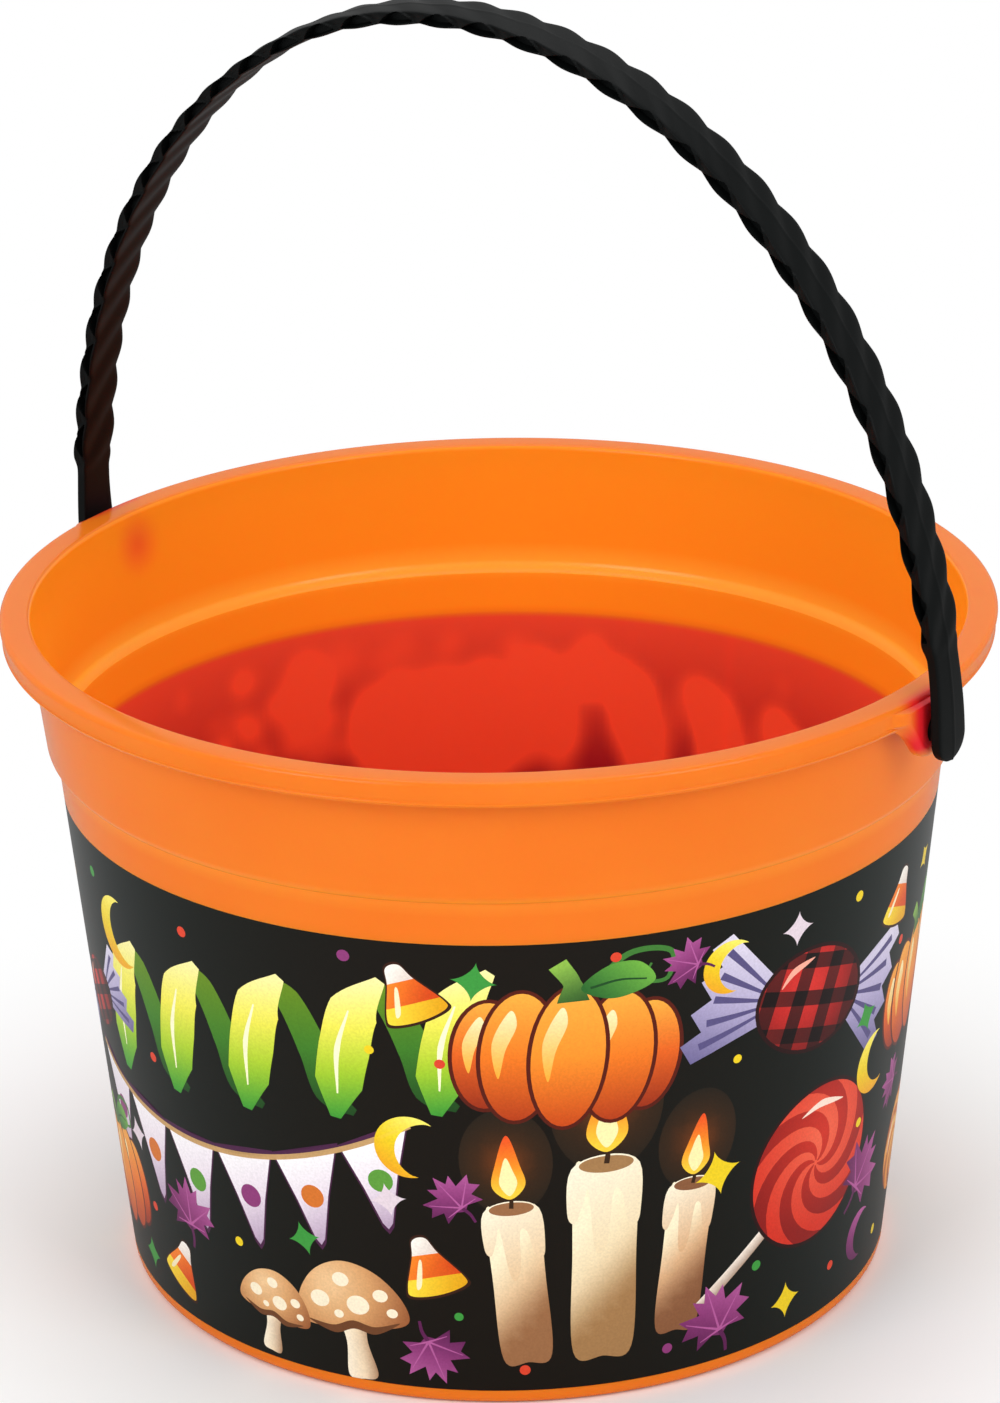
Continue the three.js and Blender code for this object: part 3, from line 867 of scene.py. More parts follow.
film_right = panel_width - label_seam / 2
film_left = -film_right
columns = np.linspace(film_left, film_right, int((film_right - film_left) / net_spacing) + 1)
levels = np.linspace(label_bottom, label_top, int((label_top - label_bottom) / net_spacing) + 1)
edge = ([(x, label_bottom) for x in columns[:-1]] + [(film_right, y) for y in levels[:-1]]
        + [(x, label_top) for x in columns[:0:-1]] + [(film_left, y) for y in levels[:0:-1]])
points = list(edge)
outlines = [list(range(len(edge)))]
owners = [None]
for shift in (-panel_width, 0, panel_width):
    for outline, ink, spot in design:
        placed = at_spot(outline, spot, shift)
        if placed[:, 0].max() < film_left or placed[:, 0].min() > film_right:
            continue
        outlines.append(list(range(len(points), len(points) + len(placed))))
        owners.append((ink, spot, shift))
        points.extend(map(tuple, placed))
points.extend((x, y) for x in columns[1:-1] for y in levels[1:-1])
points = [Vector(point) for point in points]
flat_points, _, triangles, _, _, lies_in = delaunay_2d_cdt(points, [], outlines, 0, welding)
flat_points = np.array([tuple(p) for p in flat_points])
kept = [i for i, inside in enumerate(lies_in) if 0 in inside]
triangles = np.array([triangles[i] for i in kept])
top_ink = np.array([max(lies_in[i]) for i in kept])
print(len(triangles), "triangles in the film's face")

# %% [markdown]
# Each corner of a triangle gets the colour of the ink on top of it at that point, which gives smooth fades.
# Where no motif lies, the ground shows.

# %% Ink at the corners
brown_black, green_black = "#150f08", "#0b1c19"


def ground_ink(points):
    """The near-black ground, which turns from brown-black to green-black round the pail."""
    warmest = 50
    share = 0.5 + 0.5 * np.cos((points[:, 0] - warmest) / panel_width * 2 * math.pi)
    warm, cool = [np.array(linear(ink)[:3]) for ink in (brown_black, green_black)]
    return cool + (warm - cool) * share[:, None]


corner_ink = ground_ink(flat_points[triangles].reshape(-1, 2)).reshape(-1, 3, 3)
for number in np.unique(top_ink[top_ink > 0]):
    ink, (x, y, degrees, size), shift = owners[number]
    chosen = top_ink == number
    local = flat_points[triangles[chosen]].reshape(-1, 2) - (x + panel_start + shift, y + label_bottom)
    corner_ink[chosen] = ink(rotated(local, -degrees) / size).reshape(-1, 3, 3)
print(len(np.unique(top_ink)) - 1, "outlines show in the film's face")

# %% [markdown]
# The sheet is wrapped round the wall's cone, and gets a back and edges at the film's real thickness. Its
# normals are those of the cone itself, so the gloss is as smooth as if the triangles weren't there.

# %% Wrap the film
def wrapped(points, depth):
    """Flat film points put round the wall, a depth below its face."""
    turn = -math.pi / 2 + points[:, 0] / panel_width * math.pi
    radius = wall_radius(points[:, 1]) - depth
    return np.stack([radius * np.cos(turn), radius * np.sin(turn), points[:, 1]], axis=1) * mm


count = len(flat_points)
vertices = np.concatenate([wrapped(flat_points, 0), wrapped(flat_points, label_thickness)])
pairs = dict.fromkeys(pair for a, b, c in triangles for pair in ((a, b), (b, c), (c, a)))
border = [(a, b) for a, b in pairs if (b, a) not in pairs]
faces = ([tuple(t) for t in triangles] + [(c + count, b + count, a + count) for a, b, c in triangles]
         + [(b, a, a + count, b + count) for a, b in border])
film_mesh = bpy.data.meshes.new("label_film")
film_mesh.from_pydata(vertices.tolist(), [], faces)
loop_inks = np.tile(linear(brown_black), (len(film_mesh.loops), 1))
loop_inks[:3 * len(triangles), :3] = corner_ink.reshape(-1, 3)
ink_layer = film_mesh.attributes.new("ink", "FLOAT_COLOR", "CORNER")
ink_layer.data.foreach_set("color", loop_inks.ravel())
film_mesh.validate()
film_mesh.update()

slope = math.atan(wall_draft)
outward = vertices / np.linalg.norm(vertices * (1, 1, 0), axis=1)[:, None] * (1, 1, 0) * math.cos(slope)
outward[:, 2] = -math.sin(slope)
corner_of = np.empty(len(film_mesh.loops), int)
film_mesh.loops.foreach_get("vertex_index", corner_of)
normals = outward[corner_of]
skin_corners = 3 * len(triangles)
normals[skin_corners:2 * skin_corners] *= -1
for face in film_mesh.polygons[2 * len(triangles):]:
    normals[list(face.loop_indices)] = face.normal
film_mesh.normals_split_custom_set(normals)
film_piece = new_object("label_film", film_mesh)

# %% [markdown]
# From inside, the orange wall is a coloured window on the back of the print: dark red where the ground lies
# behind it, and a blurred brighter red behind pale motifs. The print's own triangles are added up in a net
# of small cells, and the net is blurred by the wall's depth.

# %% What shows through the wall
cell = 1.2
across = int(2 * panel_width / cell)
tall = int((label_top - label_bottom) / cell)
corners_2d = flat_points[triangles]
middle = corners_2d.mean(axis=1)
side_a, side_b = corners_2d[:, 1] - corners_2d[:, 0], corners_2d[:, 2] - corners_2d[:, 0]
area = np.abs(side_a[:, 0] * side_b[:, 1] - side_a[:, 1] * side_b[:, 0]) / 2
red_through, green_through, blue_through = 0.6, 0.35, 0.05
lightness = corner_ink.mean(axis=1) @ np.array([red_through, green_through, blue_through])
column = np.clip(((middle[:, 0] + panel_width) / cell).astype(int), 0, across - 1)
row = np.clip(((middle[:, 1] - label_bottom) / cell).astype(int), 0, tall - 1)
light_sum, area_sum = np.zeros((across, tall)), np.zeros((across, tall))
np.add.at(light_sum, (column, row), lightness * area)
np.add.at(area_sum, (column, row), area)
blur_width = 1.9
reach = int(3 * blur_width / cell) + 1
weights = np.exp(-0.5 * (np.arange(-reach, reach + 1) * cell / blur_width) ** 2)
for grid_axis in (0, 1):
    for grid in (light_sum, area_sum):
        padded = np.pad(grid, [(reach, reach) if k == grid_axis else (0, 0) for k in (0, 1)],
                        mode="wrap" if grid_axis == 0 else "constant")
        grid[:] = sum(weight * np.take(padded, range(i, i + grid.shape[grid_axis]), axis=grid_axis)
                      for i, weight in enumerate(weights))
through = light_sum / np.maximum(area_sum, 1e-9)
print("light through the print", through.min().round(3), "to", through.max().round(3))

# %% [markdown]
# The shell's vertices take four readings for its material: where the film lies behind the wall, how much
# light the print lets through there, read from the net, where the bare inner wall gets a painted glow, and
# where the step's edges get a painted highlight.

# %% Readings at the shell's vertices
glow_ease, rim_edge = 2.0, 0.2
inner_ledge_reach, outer_ledge_reach = 1.6, 1.1
outer_ledge_light, outer_ledge_rise = 0.45, 0.6
above_floor = 0.5
inner_side = wall_thickness * 0.65  # a vertex this deep in the wall belongs to its inner side

x_y_z = np.empty(len(body_mesh.vertices) * 3)
body_mesh.vertices.foreach_get("co", x_y_z)
x, y, height = (x_y_z.reshape(-1, 3) / mm).T
radius = np.hypot(x, y)
inside = (radius < wall_radius(height) - inner_side) & (height > inner_floor + above_floor)
turn = np.mod(np.arctan2(y, x) + math.pi / 2 + math.pi, 2 * math.pi) - math.pi
u = np.clip((turn / math.pi * panel_width + panel_width) / cell - 0.5, 0, across - 1.001)
v = np.clip((height - label_bottom) / cell - 0.5, 0, tall - 1.001)
i, j = u.astype(int), v.astype(int)
fu, fv = u - i, v - j
light = (through[i, j] * (1 - fu) * (1 - fv) + through[i + 1, j] * fu * (1 - fv)
         + through[i, j + 1] * (1 - fu) * fv + through[i + 1, j + 1] * fu * fv)
outline = np.array([(wall_radius(label_top), label_top), *shoulder(0),
                    (collar_radius(bucket_height), bucket_height)])
is_inner = radius < np.interp(height, outline[:, 1], outline[:, 0]) - inner_side
# painted glow: the bare inner wall above the film is made lighter, as if lit through the wall from outside
lit_wall = np.clip((height - label_top) / glow_ease, 0, 1) * is_inner * (height < bucket_height - rim_edge)
# painted highlights on the step: a light band at the inner bend and a light line at the outer foot
painted_ledge_highlight = lit_wall * np.exp(-((height - shoulder_top) / inner_ledge_reach) ** 2)
from_outer_ledge = height - shoulder_foot - outer_ledge_rise
painted_ledge_highlight += outer_ledge_light * (1 - is_inner) * np.exp(-(from_outer_ledge / outer_ledge_reach) ** 2)
readings = {"film_behind": (height < label_top) * inside, "print_light": light * inside,
            "lit_wall": lit_wall, "painted_ledge_highlight": painted_ledge_highlight}
for name, values in readings.items():
    body_mesh.attributes.new(name, "FLOAT", "POINT").data.foreach_set("value", values)
print(len(readings), "readings at", len(radius), "vertices")
body_mesh.polygons.foreach_set("use_smooth", [True] * len(body_mesh.polygons))
body_mesh.set_sharp_from_angle(angle=math.radians(32))
body_piece = new_object("bucket_body_fine", body_mesh)

# %% [markdown]
# Moulded polypropylene is a soft, waxy plastic with a satin gloss and an IOR of 1.49. Orange pigment is thin
# in it, so light goes in, scatters and comes out warmer: subsurface scattering in the red. Every surface of
# it has the mould's fine texture, so one function makes that for both plastics.

# %% Orange polypropylene
def mould_texture(tree, place, grain, strength):
    """The fine texture that the mould gives the plastic, as a bump from noise of a real grain size."""
    noise = add(tree, "ShaderNodeTexNoise", {"Vector": place, "Scale": 1 / grain, "Detail": 2.0})
    return add(tree, "ShaderNodeBump", {"Strength": strength, "Distance": 0.05 * mm, "Height": noise})


orange_pp, tree, shader, place = new_material("orange_polypropylene_moulded")
behind, lit, lit_wall, painted_ledge_highlight = [add(tree, "ShaderNodeAttribute", attribute_name=name).outputs["Fac"]
                                for name in readings]
spot = add(tree, "ShaderNodeSeparateXYZ", [place])
# painted shade: the window's ground is darker towards its foot, where less light reaches inside the pail
window_shade_fade = (68 * mm, label_top * mm)
high = add(tree, "ShaderNodeMapRange", [spot.outputs["Z"], *window_shade_fade, 0.0, 1.0])

# %% [markdown]
# The bail's black tab and pin lie close behind the thin wall. The tab's shadow on the ear and the pin's
# darkening of the light that comes through the wall are painted in as a crimson shade. The tab's painted
# shade is worked out from how far a point is along X and Y, where it starts and where it is full. The pin's
# is a painted dark blur round the pivot axis. Both use Object coordinates, so they stay in place from any
# side.

# %% Painted shade from the tab and pin
# painted crimson shade of the tab on the ear's face, full next to the tab
tab_shade_span = (("X", ear_face - 4.6, ear_face - 1.0), ("Y", 11.5, 6.0))
tab_and_pin_shade = 1.0
for coordinate, start, end in tab_shade_span:
    reach = add(tree, "ShaderNodeMath", [spot.outputs[coordinate]], operation="ABSOLUTE")
    reach = add(tree, "ShaderNodeMapRange", [reach, start * mm, end * mm, 0.0, 1.0],
                interpolation_type="SMOOTHSTEP")
    tab_and_pin_shade = add(tree, "ShaderNodeMath", [reach, tab_and_pin_shade], operation="MULTIPLY")
tab_shade_low, tab_shade_full = (ear_low + 1.2) * mm, (ear_low + 3.2) * mm
reach = add(tree, "ShaderNodeMapRange", [spot.outputs["Z"], tab_shade_low, tab_shade_full, 0.0, 1.0])
tab_and_pin_shade = add(tree, "ShaderNodeMath", [reach, tab_and_pin_shade], operation="MULTIPLY")
# painted dark blur round the pin's axis, where the pin shades the light coming through the wall
from_pin = add(tree, "ShaderNodeVectorMath", [place, (0.0, 0.0, pivot_height * mm)],
               operation="SUBTRACT")
from_pin = add(tree, "ShaderNodeVectorMath", [from_pin, (0.0, 1.0, 1.0)], operation="MULTIPLY")
from_pin = add(tree, "ShaderNodeVectorMath", [from_pin], operation="LENGTH").outputs["Value"]
pin_blur, pin_darkness = 9.0 * mm, 0.55
pin_shade = add(tree, "ShaderNodeMapRange", [from_pin, 0.0, pin_blur, pin_darkness, 0.0],
                interpolation_type="SMOOTHSTEP")
pin_shade = add(tree, "ShaderNodeMath", [pin_shade, lit_wall], operation="MULTIPLY")
tab_and_pin_shade = add(tree, "ShaderNodeMath", [tab_and_pin_shade, pin_shade], operation="MAXIMUM")

# %% [markdown]
# The colours are laid over each other, from the bare plastic with its faint flow marks, over the painted
# glow of the inner wall, the painted highlights on the step's edges and the painted crimson shade by the tab
# and pin, to the window on the print's back. Where light comes through from outside, the wall also gives off
# a little of its colour, a painted glow.

# %% Colours of the orange plastic
flow_size = 35 * mm
flow = add(tree, "ShaderNodeTexNoise", {"Vector": place, "Scale": 1 / flow_size, "Detail": 3.0})
bare = add(tree, "ShaderNodeMix", {0: flow, 6: linear("#ee7414"), 7: linear("#f28120")}, data_type="RGBA")
dark_print, light_print, most_seen = 0.02, 0.28, 0.9
seen_light = add(tree, "ShaderNodeMapRange", [lit, dark_print, light_print, 0.0, most_seen])
# the window's ground, painted darker towards its foot as shade
ground = add(tree, "ShaderNodeMix", {0: high, 6: linear("#86041e"), 7: linear("#ea4a30")}, data_type="RGBA")
window = add(tree, "ShaderNodeMix", {0: seen_light, 6: ground, 7: linear("#ff5030")}, data_type="RGBA")
colour = bare
# painted glow of the inner wall, painted highlights on the step and painted crimson shade by the tab and pin
for share, tint in ((lit_wall, "#f98f1c"), (painted_ledge_highlight, "#ffa834"), (tab_and_pin_shade, "#e8202a")):
    colour = add(tree, "ShaderNodeMix", {0: share, 6: colour, 7: linear(tint)}, data_type="RGBA")
colour = add(tree, "ShaderNodeMix", {0: behind, 6: colour, 7: window}, data_type="RGBA")
# painted glow: where light would come through the wall, it gives off a little of its own colour
backlit = add(tree, "ShaderNodeMath", [behind, lit_wall], operation="MAXIMUM")
backlit = add(tree, "ShaderNodeMix", {0: backlit, 6: linear("#000000"), 7: colour}, data_type="RGBA")
texture_grain = 0.6 * mm
bump = mould_texture(tree, place, texture_grain, strength=0.06)
fill(tree, shader, {
    "Base Color": colour, "Normal": bump, "Roughness": 0.2, "IOR": 1.49, "Specular IOR Level": 0.22,
    "Emission Color": backlit, "Emission Strength": 0.1,
    "Subsurface Weight": 0.45, "Subsurface Radius": (1.0, 0.35, 0.1), "Subsurface Scale": 4 * mm})
body_mesh.materials.clear()
body_mesh.materials.append(orange_pp)
put_on(body_piece, "pail", "bucket_body")

# %% [markdown]
# The film is printed polypropylene, so it has the same satin gloss as the wall, and its colour is the ink
# kept at the mesh's corners. A fine printer's grain varies the ink a little.

# %% Printed film
film_stuff, tree, shader, place = new_material("printed_polypropylene_film")
ink = add(tree, "ShaderNodeAttribute", attribute_name="ink").outputs["Color"]
grain_size, grain_depth = 0.5 * mm, 0.06
grain = add(tree, "ShaderNodeTexNoise", {"Vector": place, "Scale": 1 / grain_size, "Detail": 1.0})
grain = add(tree, "ShaderNodeMapRange", [grain, 0.3, 0.7, 1 - grain_depth, 1 + grain_depth])
colour = add(tree, "ShaderNodeVectorMath", {0: ink, "Scale": grain}, operation="SCALE")
fill(tree, shader, {"Base Color": colour, "Roughness": 0.3, "IOR": 1.49, "Specular IOR Level": 0.2})
film_mesh.materials.append(film_stuff)
put_on(film_piece, "pail", "label_wrap")

# %% [markdown]
# The bail is one black moulding that looks like a three-strand rope pressed flat: two flat tabs, and between
# them a strap whose edges swell over each strand and sink to a sharp notch between two, while the strands
# wind along it. Its shape follows a rule, so Geometry Nodes make it: a flat net of points is bent into a
# skin round a centre line. The line is a short straight leg, half an ellipse and a leg again.

# %% Centre line of the bail
bail_lean = math.radians(4.5)
tab_gap = 1.8
tab_thickness = 2.6
tab_width = 8.8
tab_below_pivot = 6.6
tab_above_pivot = 16.0
tab_splay = 0.9
splay_length = 45.0
rope_blend = 5.0
rope_width, rope_thickness = 11.0, 3.4
valley_width, valley_thickness = 9.0, 2.9
rope_pitch = 10.3
first_notch = 25.6  # distance along the bail of the first notch in its front edge
strand_count = 3
spring_above_pivot = 2.3
arch_rise = 132.5

tab_middle = ear_face + tab_gap + tab_thickness / 2
arch_half_width = tab_middle - tab_splay
leg_length = spring_above_pivot + tab_below_pivot


def centre_line(step=1.0):
    """Points of the bail's middle line, from the left tab's lower end, with the pivot at zero."""
    turn = np.linspace(math.pi, 0, 4001)
    arch = np.stack([arch_half_width * np.cos(turn), arch_rise * np.sin(turn) + spring_above_pivot], axis=1)
    spacing = np.concatenate([[0], np.cumsum(np.linalg.norm(np.diff(arch, axis=0), axis=1))])
    length = spacing[-1] + 2 * leg_length
    s = np.linspace(0, length, int(length / step) + 1)
    on_arch = np.clip(s - leg_length, 0, spacing[-1])
    x = np.interp(on_arch, spacing, arch[:, 0])
    z = np.interp(on_arch, spacing, arch[:, 1])
    below = np.maximum(leg_length - s, 0) + np.maximum(s - leg_length - spacing[-1], 0)
    from_end = np.minimum(s, length - s)
    t = np.clip((from_end - tab_below_pivot) / splay_length, 0, 1)
    splay = tab_splay * (1 - t * t * (3 - 2 * t))
    return np.stack([x + np.sign(x) * splay, np.zeros_like(x), z - below], axis=1), length


line_points, bail_length = centre_line()
line_mesh = bpy.data.meshes.new("bail_line")
line_mesh.from_pydata((line_points * mm).tolist(), [(i, i + 1) for i in range(len(line_points) - 1)], [])
bail_blank = new_object("bail_blank", line_mesh)
print(f"bail {bail_length:.0f} mm along its middle line")

# %% [markdown]
# The rope's shape is worked out for each point of a net, by sums that read like a recipe. A point has a
# distance along the bail and a turn round its section. The distance is eased at both ends, so the tabs end
# in half circles. Sine and cosine, made steeper and cut off softly, give one flat section with small rounds.
# A wave of the turn and the distance swells it over each strand, and one mix leads from tab to rope. Pockets
# that lighten the moulding are pressed into both narrow sides, and the outer face is a low roof. Each line
# names a result, what is done, and with what: a number, a size of the bail or a result from a line above.

# %% Sums of the rope
twist_haste = 0.8  # how much faster the strands turn over the flat faces
outer_steepness = 4.0
ridge_width = 0.08
pocket_edge = 0.15 * mm
past_blend = 0.999
rope_sums = (
    # distance along the outline, and the turn round the section
    ("end width", "ADD", "Tab Width", "Tab Flare"),
    ("end radius", "MULTIPLY", "end width", 0.5),
    ("quarter", "MULTIPLY", "end radius", math.pi / 2),
    ("spare", "SUBTRACT", "quarter", "end radius"),
    ("path length", "MULTIPLY_ADD", "spare", 2.0, "Length"),
    ("path", "RANGE", "net x", -0.5, 0.5, 0.0, "path length"),
    ("from far end", "SUBTRACT", "path length", "path"),
    ("is far", "GREATER_THAN", "path", "from far end"),
    ("from end", "MINIMUM", "path", "from far end"),
    ("turn", "RANGE", "net y", -0.5, 0.5, -math.pi / 2, 1.5 * math.pi),
    # the round lower end of a tab
    ("end path", "MINIMUM", "from end", "quarter"),
    ("end turn", "DIVIDE", "end path", "end radius"),
    ("end share", "SINE", "end turn"),
    ("end cosine", "COSINE", "end turn"),
    ("end rise", "SUBTRACT", 1.0, "end cosine"),
    ("straight", "SUBTRACT", "from end", "end path"),
    ("distance", "MULTIPLY_ADD", "end rise", "end radius", "straight"),
    ("far distance", "SUBTRACT", "Length", "distance"),
    ("station", "MIX", "is far", None, "distance", "far distance"),
    # the wave of the strands runs along the bail and round the section, skewed by the twist
    ("cosine", "COSINE", "turn"),
    ("sine", "SINE", "turn"),
    ("on rope", "SUBTRACT", "station", "First Notch"),
    ("lobe count", "DIVIDE", "on rope", "Pitch"),
    ("notch phase", "MULTIPLY_ADD", "Strands", 0.25, "Skew"),
    ("lobes", "ADD", "lobe count", "notch phase"),
    ("haste", "MULTIPLY", "sine", "cosine"),
    ("hasty turn", "MULTIPLY_ADD", "haste", twist_haste, "turn"),
    ("twist", "MULTIPLY", "hasty turn", "Strands"),
    ("skewed", "MULTIPLY", "Skew", 2 * math.pi),
    ("skewed twist", "MULTIPLY_ADD", "sine", "skewed", "twist"),
    ("phase", "MULTIPLY_ADD", "lobes", 2 * math.pi, "skewed twist"),
    ("half phase", "MULTIPLY", "phase", 0.5),
    ("wave", "SINE", "half phase"),
    ("sharp wave", "ABSOLUTE", "wave"),
    ("soft wave", "MULTIPLY", "wave", "wave"),
    ("thick", "MIX", "soft wave", None, "Valley Thickness", "Rope Thickness"),
    ("wide", "MIX", "sharp wave", None, "Valley Width", "Rope Width"),
    # from tab to rope: half the thickness and half the width at this point
    ("rope start", "ADD", "Tab Length", "Blend"),
    ("along rope", "SMOOTH RANGE", "distance", "Tab Length", "rope start", 0.0, 1.0),
    ("flare", "SMOOTH RANGE", "distance", "end radius", "Flare End", "Tab Flare", 0.0),
    ("flared", "ADD", "Tab Width", "flare"),
    ("tab wide", "MULTIPLY", "flared", "end share"),
    ("near tip", "SUBTRACT", 1.0, "end share"),
    ("thinning", "MULTIPLY", "near tip", "End Thinning"),
    ("left over", "SUBTRACT", 1.0, "thinning"),
    ("tab thick", "MULTIPLY", "Tab Thickness", "left over"),
    ("all thick", "MIX", "along rope", None, "tab thick", "thick"),
    ("half thick", "MULTIPLY", "all thick", 0.5),
    ("all wide", "MIX", "along rope", None, "tab wide", "wide"),
    ("half wide", "MULTIPLY", "all wide", 0.5),
    # the flat section: steep sine and cosine, cut off softly at plus and minus one
    ("steep out", "MULTIPLY", "cosine", "Steepness"),
    ("cut out", "SMOOTH_MIN", "steep out", 1.0, "Edge Round"),
    ("out share", "SMOOTH_MAX", "cut out", -1.0, "Edge Round"),
    ("steep across", "MULTIPLY", "sine", "Steepness"),
    ("cut across", "SMOOTH_MIN", "steep across", 1.0, "Edge Round"),
    ("across share", "SMOOTH_MAX", "cut across", -1.0, "Edge Round"),
    ("flat out", "MULTIPLY", "out share", "half thick"),
    ("flat across", "MULTIPLY", "across share", "half wide"),
    # the outer face is a low roof whose ridge, with the mould's flash line, keeps the full thickness
    ("from ridge", "ABSOLUTE", "across share"),
    ("roof fall", "RANGE", "from ridge", 0.0, 1.0, 0.0, "Crown"),
    ("line fall", "RANGE", "from ridge", 0.0, ridge_width, 0.0, "Flash Line"),
    ("fall", "ADD", "roof fall", "line fall"),
    ("sunk", "MULTIPLY", "fall", -1.0),
    ("outer share", "CLAMPED MULTIPLY", "cosine", outer_steepness),
    ("section out", "MULTIPLY_ADD", "sunk", "outer share", "flat out"),
    # pockets in the narrow sides, one lens under each strand
    ("side", "SIGN", "sine"),
    ("shift", "MULTIPLY_ADD", "side", "notch phase", "lobes"),
    ("pocket phase", "FRACT", "shift"),
    ("lens turn", "RANGE", "pocket phase", "Pocket Start", 1.0, 0.0, math.pi),
    ("lens", "SINE", "lens turn"),
    ("low", "SUBTRACT", "Pocket Lip", "half thick"),
    ("above low", "SUBTRACT", "section out", "low"),
    ("high", "MULTIPLY", "lens", "Pocket Height"),
    ("below high", "SUBTRACT", "high", "above low"),
    ("inset", "MINIMUM", "above low", "below high"),
    ("pocket", "RANGE", "inset", 0.0, pocket_edge, 0.0, "Pocket Depth"),
    ("on strands", "GREATER_THAN", "along rope", past_blend),
    ("strand pocket", "MULTIPLY", "pocket", "on strands"),
    ("side pocket", "MULTIPLY", "strand pocket", "side"),
    ("section across", "SUBTRACT", "flat across", "side pocket"),
    # the pins, one inside each tab
    ("pin reach", "SUBTRACT", "Tab Middle", "Pin Tip"),
    ("right pin", "MULTIPLY_ADD", "pin reach", 0.5, "Pin Tip"),
    ("left pin", "MULTIPLY", "right pin", -1.0),
)
print(len(rope_sums), "sums give the rope's shape")

# %% [markdown]
# The tree takes the bail's sizes as named inputs and adds one node for each sum. A net of points is moved to
# where the sums say, on the curve that runs through the bail's middle line, and so becomes the skin. Last
# come the pins, the lean and the material.

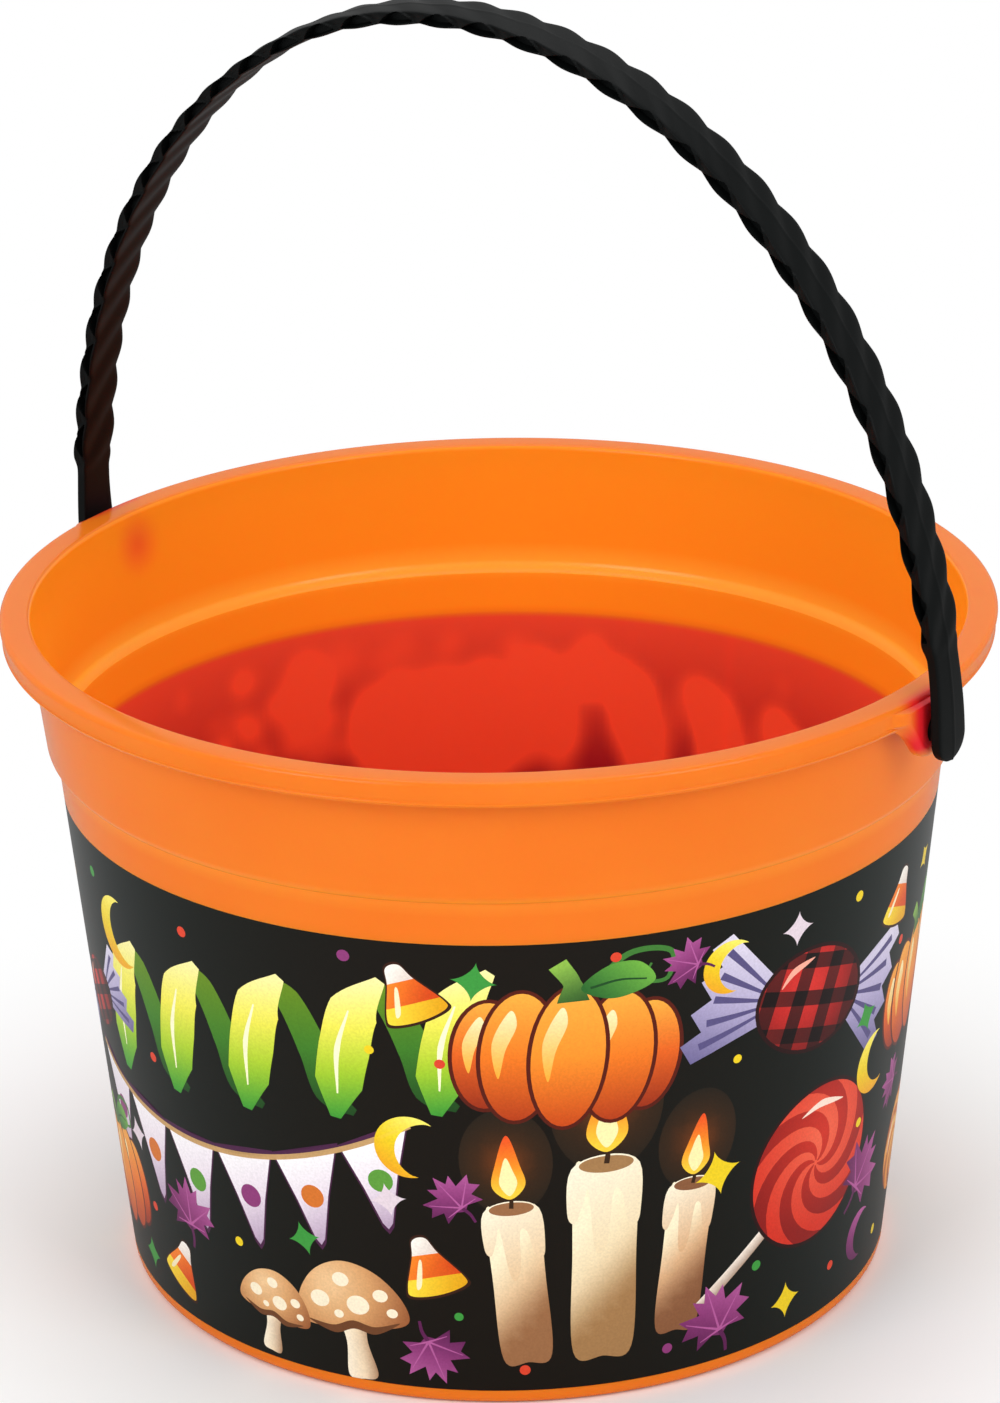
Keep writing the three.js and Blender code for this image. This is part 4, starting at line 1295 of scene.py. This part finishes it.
# %% Geometry Nodes tree of the bail
def rope_bail_tree():
    """The tree, and its inputs' values by name."""
    tree = bpy.data.node_groups.new("rope_bail", "GeometryNodeTree")
    pin_tip = collar_radius(pivot_height + pin_radius + pin_clearance) + pin_clearance
    lengths = {
        "Length": bail_length, "Tab Width": tab_width, "Tab Thickness": tab_thickness,
        "Tab Flare": 1.4, "Flare End": 23, "Tab Length": tab_below_pivot + tab_above_pivot,
        "Blend": rope_blend, "Rope Width": rope_width, "Rope Thickness": rope_thickness,
        "Valley Width": valley_width, "Valley Thickness": valley_thickness, "Pitch": rope_pitch,
        "First Notch": first_notch, "Crown": 0.3, "Flash Line": 0.08, "Pocket Depth": 2.2,
        "Pocket Height": 2.15, "Pocket Lip": 0.45, "Pin Radius": pin_radius, "Pin Tip": pin_tip,
        "Tab Middle": tab_middle, "Pivot Height": pivot_height,
    }
    sizes = {name: length * mm for name, length in lengths.items()}
    sizes |= {"End Thinning": 0.45, "Strands": float(strand_count), "Skew": 0.1, "Steepness": 1.36,
              "Edge Round": 0.16, "Pocket Start": 0.2, "Lean": bail_lean}
    counts = {"Rings": 1000, "Ring Points": 97}
    face = tree.interface
    sockets = [("Geometry", "Geometry"), *[(name, "Float") for name in sizes],
               *[(name, "Int") for name in counts], ("Material", "Material")]
    for name, kind in sockets:
        face.new_socket(name, in_out="INPUT", socket_type="NodeSocket" + kind)
    face.new_socket("Geometry", in_out="OUTPUT", socket_type="NodeSocketGeometry")
    given = add(tree, "NodeGroupInput").outputs
    net = add(tree, "GeometryNodeMeshGrid", [1.0, 1.0, given["Rings"], given["Ring Points"]])
    spot = add(tree, "ShaderNodeSeparateXYZ", [add(tree, "GeometryNodeInputPosition")])

    # one node for each sum: a Math node, unless its word stands for another
    other_nodes = {"RANGE": ("ShaderNodeMapRange", {}), "MIX": ("ShaderNodeMix", {}),
                   "SMOOTH RANGE": ("ShaderNodeMapRange", {"interpolation_type": "SMOOTHSTEP"}),
                   "CLAMPED MULTIPLY": ("ShaderNodeMath", {"operation": "MULTIPLY", "use_clamp": True})}
    known = {**dict(given.items()), "net x": spot.outputs["X"], "net y": spot.outputs["Y"]}
    for name, deed, *inputs in rope_sums:
        kind, settings = other_nodes.get(deed, ("ShaderNodeMath", {"operation": deed}))
        known[name] = add(tree, kind, [known.get(value, value) for value in inputs], **settings)

    # the skin: each point of the net on the middle line, moved out and across
    line = add(tree, "GeometryNodeMeshToCurve", [given["Geometry"]])
    sample = add(tree, "GeometryNodeSampleCurve", {"Curves": line, "Length": known["station"]},
                 mode="LENGTH")
    out = add(tree, "ShaderNodeVectorMath", [sample.outputs["Tangent"], (0.0, 1.0, 0.0)],
              operation="CROSS_PRODUCT")
    outward = add(tree, "ShaderNodeVectorMath", {0: out, "Scale": known["section out"]}, operation="SCALE")
    sideways = add(tree, "ShaderNodeCombineXYZ", {"Y": known["section across"]})
    offset = add(tree, "ShaderNodeVectorMath", [outward, sideways], operation="ADD")
    position = add(tree, "ShaderNodeVectorMath", [sample.outputs["Position"], offset], operation="ADD")
    skin = add(tree, "GeometryNodeSetPosition", {"Geometry": net, "Position": position})
    skin = add(tree, "GeometryNodeMergeByDistance", {"Geometry": skin, "Distance": 0.002 * mm})

    # the pins, then the whole bail leaned over and put on its pivot
    pin = add(tree, "GeometryNodeMeshCylinder",
              {"Vertices": 48, "Radius": given["Pin Radius"], "Depth": known["pin reach"]})
    parts = [skin]
    for side in ("left pin", "right pin"):
        place = add(tree, "ShaderNodeCombineXYZ", {"X": known[side]})
        parts.append(add(tree, "GeometryNodeTransform", {
            "Geometry": pin.outputs["Mesh"], "Translation": place, "Rotation": (0.0, math.pi / 2, 0.0)}))
    joined = tree.nodes.new("GeometryNodeJoinGeometry")
    for part in parts:
        tree.links.new(part.outputs[0], joined.inputs[0])
    placed = add(tree, "GeometryNodeTransform", {
        "Geometry": joined,
        "Translation": add(tree, "ShaderNodeCombineXYZ", {"Z": given["Pivot Height"]}),
        "Rotation": add(tree, "ShaderNodeCombineXYZ", {"X": given["Lean"]})})
    shaded = add(tree, "GeometryNodeSetShadeSmooth", {"Geometry": placed})
    real = add(tree, "GeometryNodeRealizeInstances", {"Geometry": shaded})
    painted = add(tree, "GeometryNodeSetMaterial", {"Geometry": real, "Material": given["Material"]})
    add(tree, "NodeGroupOutput", {"Geometry": painted})
    return tree, {**sizes, **counts}


rope_tree, rope_sizes = rope_bail_tree()
print(len(rope_tree.nodes), "nodes in the bail's tree, with", len(rope_sizes), "sizes")

# %% [markdown]
# The bail is moulded in the same kind of plastic with black pigment, which lets no light in: nearly black,
# with a dull gloss. A fine texture from the mould breaks the gloss up, and the black varies a little.

# %% Black polypropylene
black_pp, tree, shader, place = new_material("black_polypropylene_moulded")
texture_grain, patch_size = 0.5 * mm, 14 * mm
bump = mould_texture(tree, place, texture_grain, strength=0.1)
patch = add(tree, "ShaderNodeTexNoise", {"Vector": place, "Scale": 1 / patch_size, "Detail": 3.0})
colour = add(tree, "ShaderNodeMix", {0: patch, 6: linear("#080a0a"), 7: linear("#0c0f0f")}, data_type="RGBA")
fill(tree, shader, {"Base Color": colour, "Normal": bump, "Roughness": 0.45, "IOR": 1.49,
                    "Specular IOR Level": 0.09})
print(black_pp.name, "with a texture of", texture_grain / mm, "mm")

# %% [markdown]
# The tree is put on the centre line as a modifier, and each input is set by its socket's identifier. The
# result is taken as a plain mesh, because the export and the joint need one. The pail and the bail are two
# bodies, so the bail is a piece of its own that rides on the second.

# %% Build the bail
maker = bail_blank.modifiers.new("rope_bail", "NODES")
maker.node_group = rope_tree
for item in rope_tree.interface.items_tree:
    if item.in_out == "INPUT" and item.name in rope_sizes:
        maker[item.identifier] = rope_sizes[item.name]
    elif item.name == "Material":
        maker[item.identifier] = black_pp
bail_mesh = applied(bail_blank)
bail_mesh.name = "bail_rope"
bpy.data.objects.remove(bail_blank)
bail_mesh.set_sharp_from_angle(angle=math.radians(50))
bail_piece = new_object("bail_rope", bail_mesh)
put_on(bail_piece, "bail", "bail_handle")
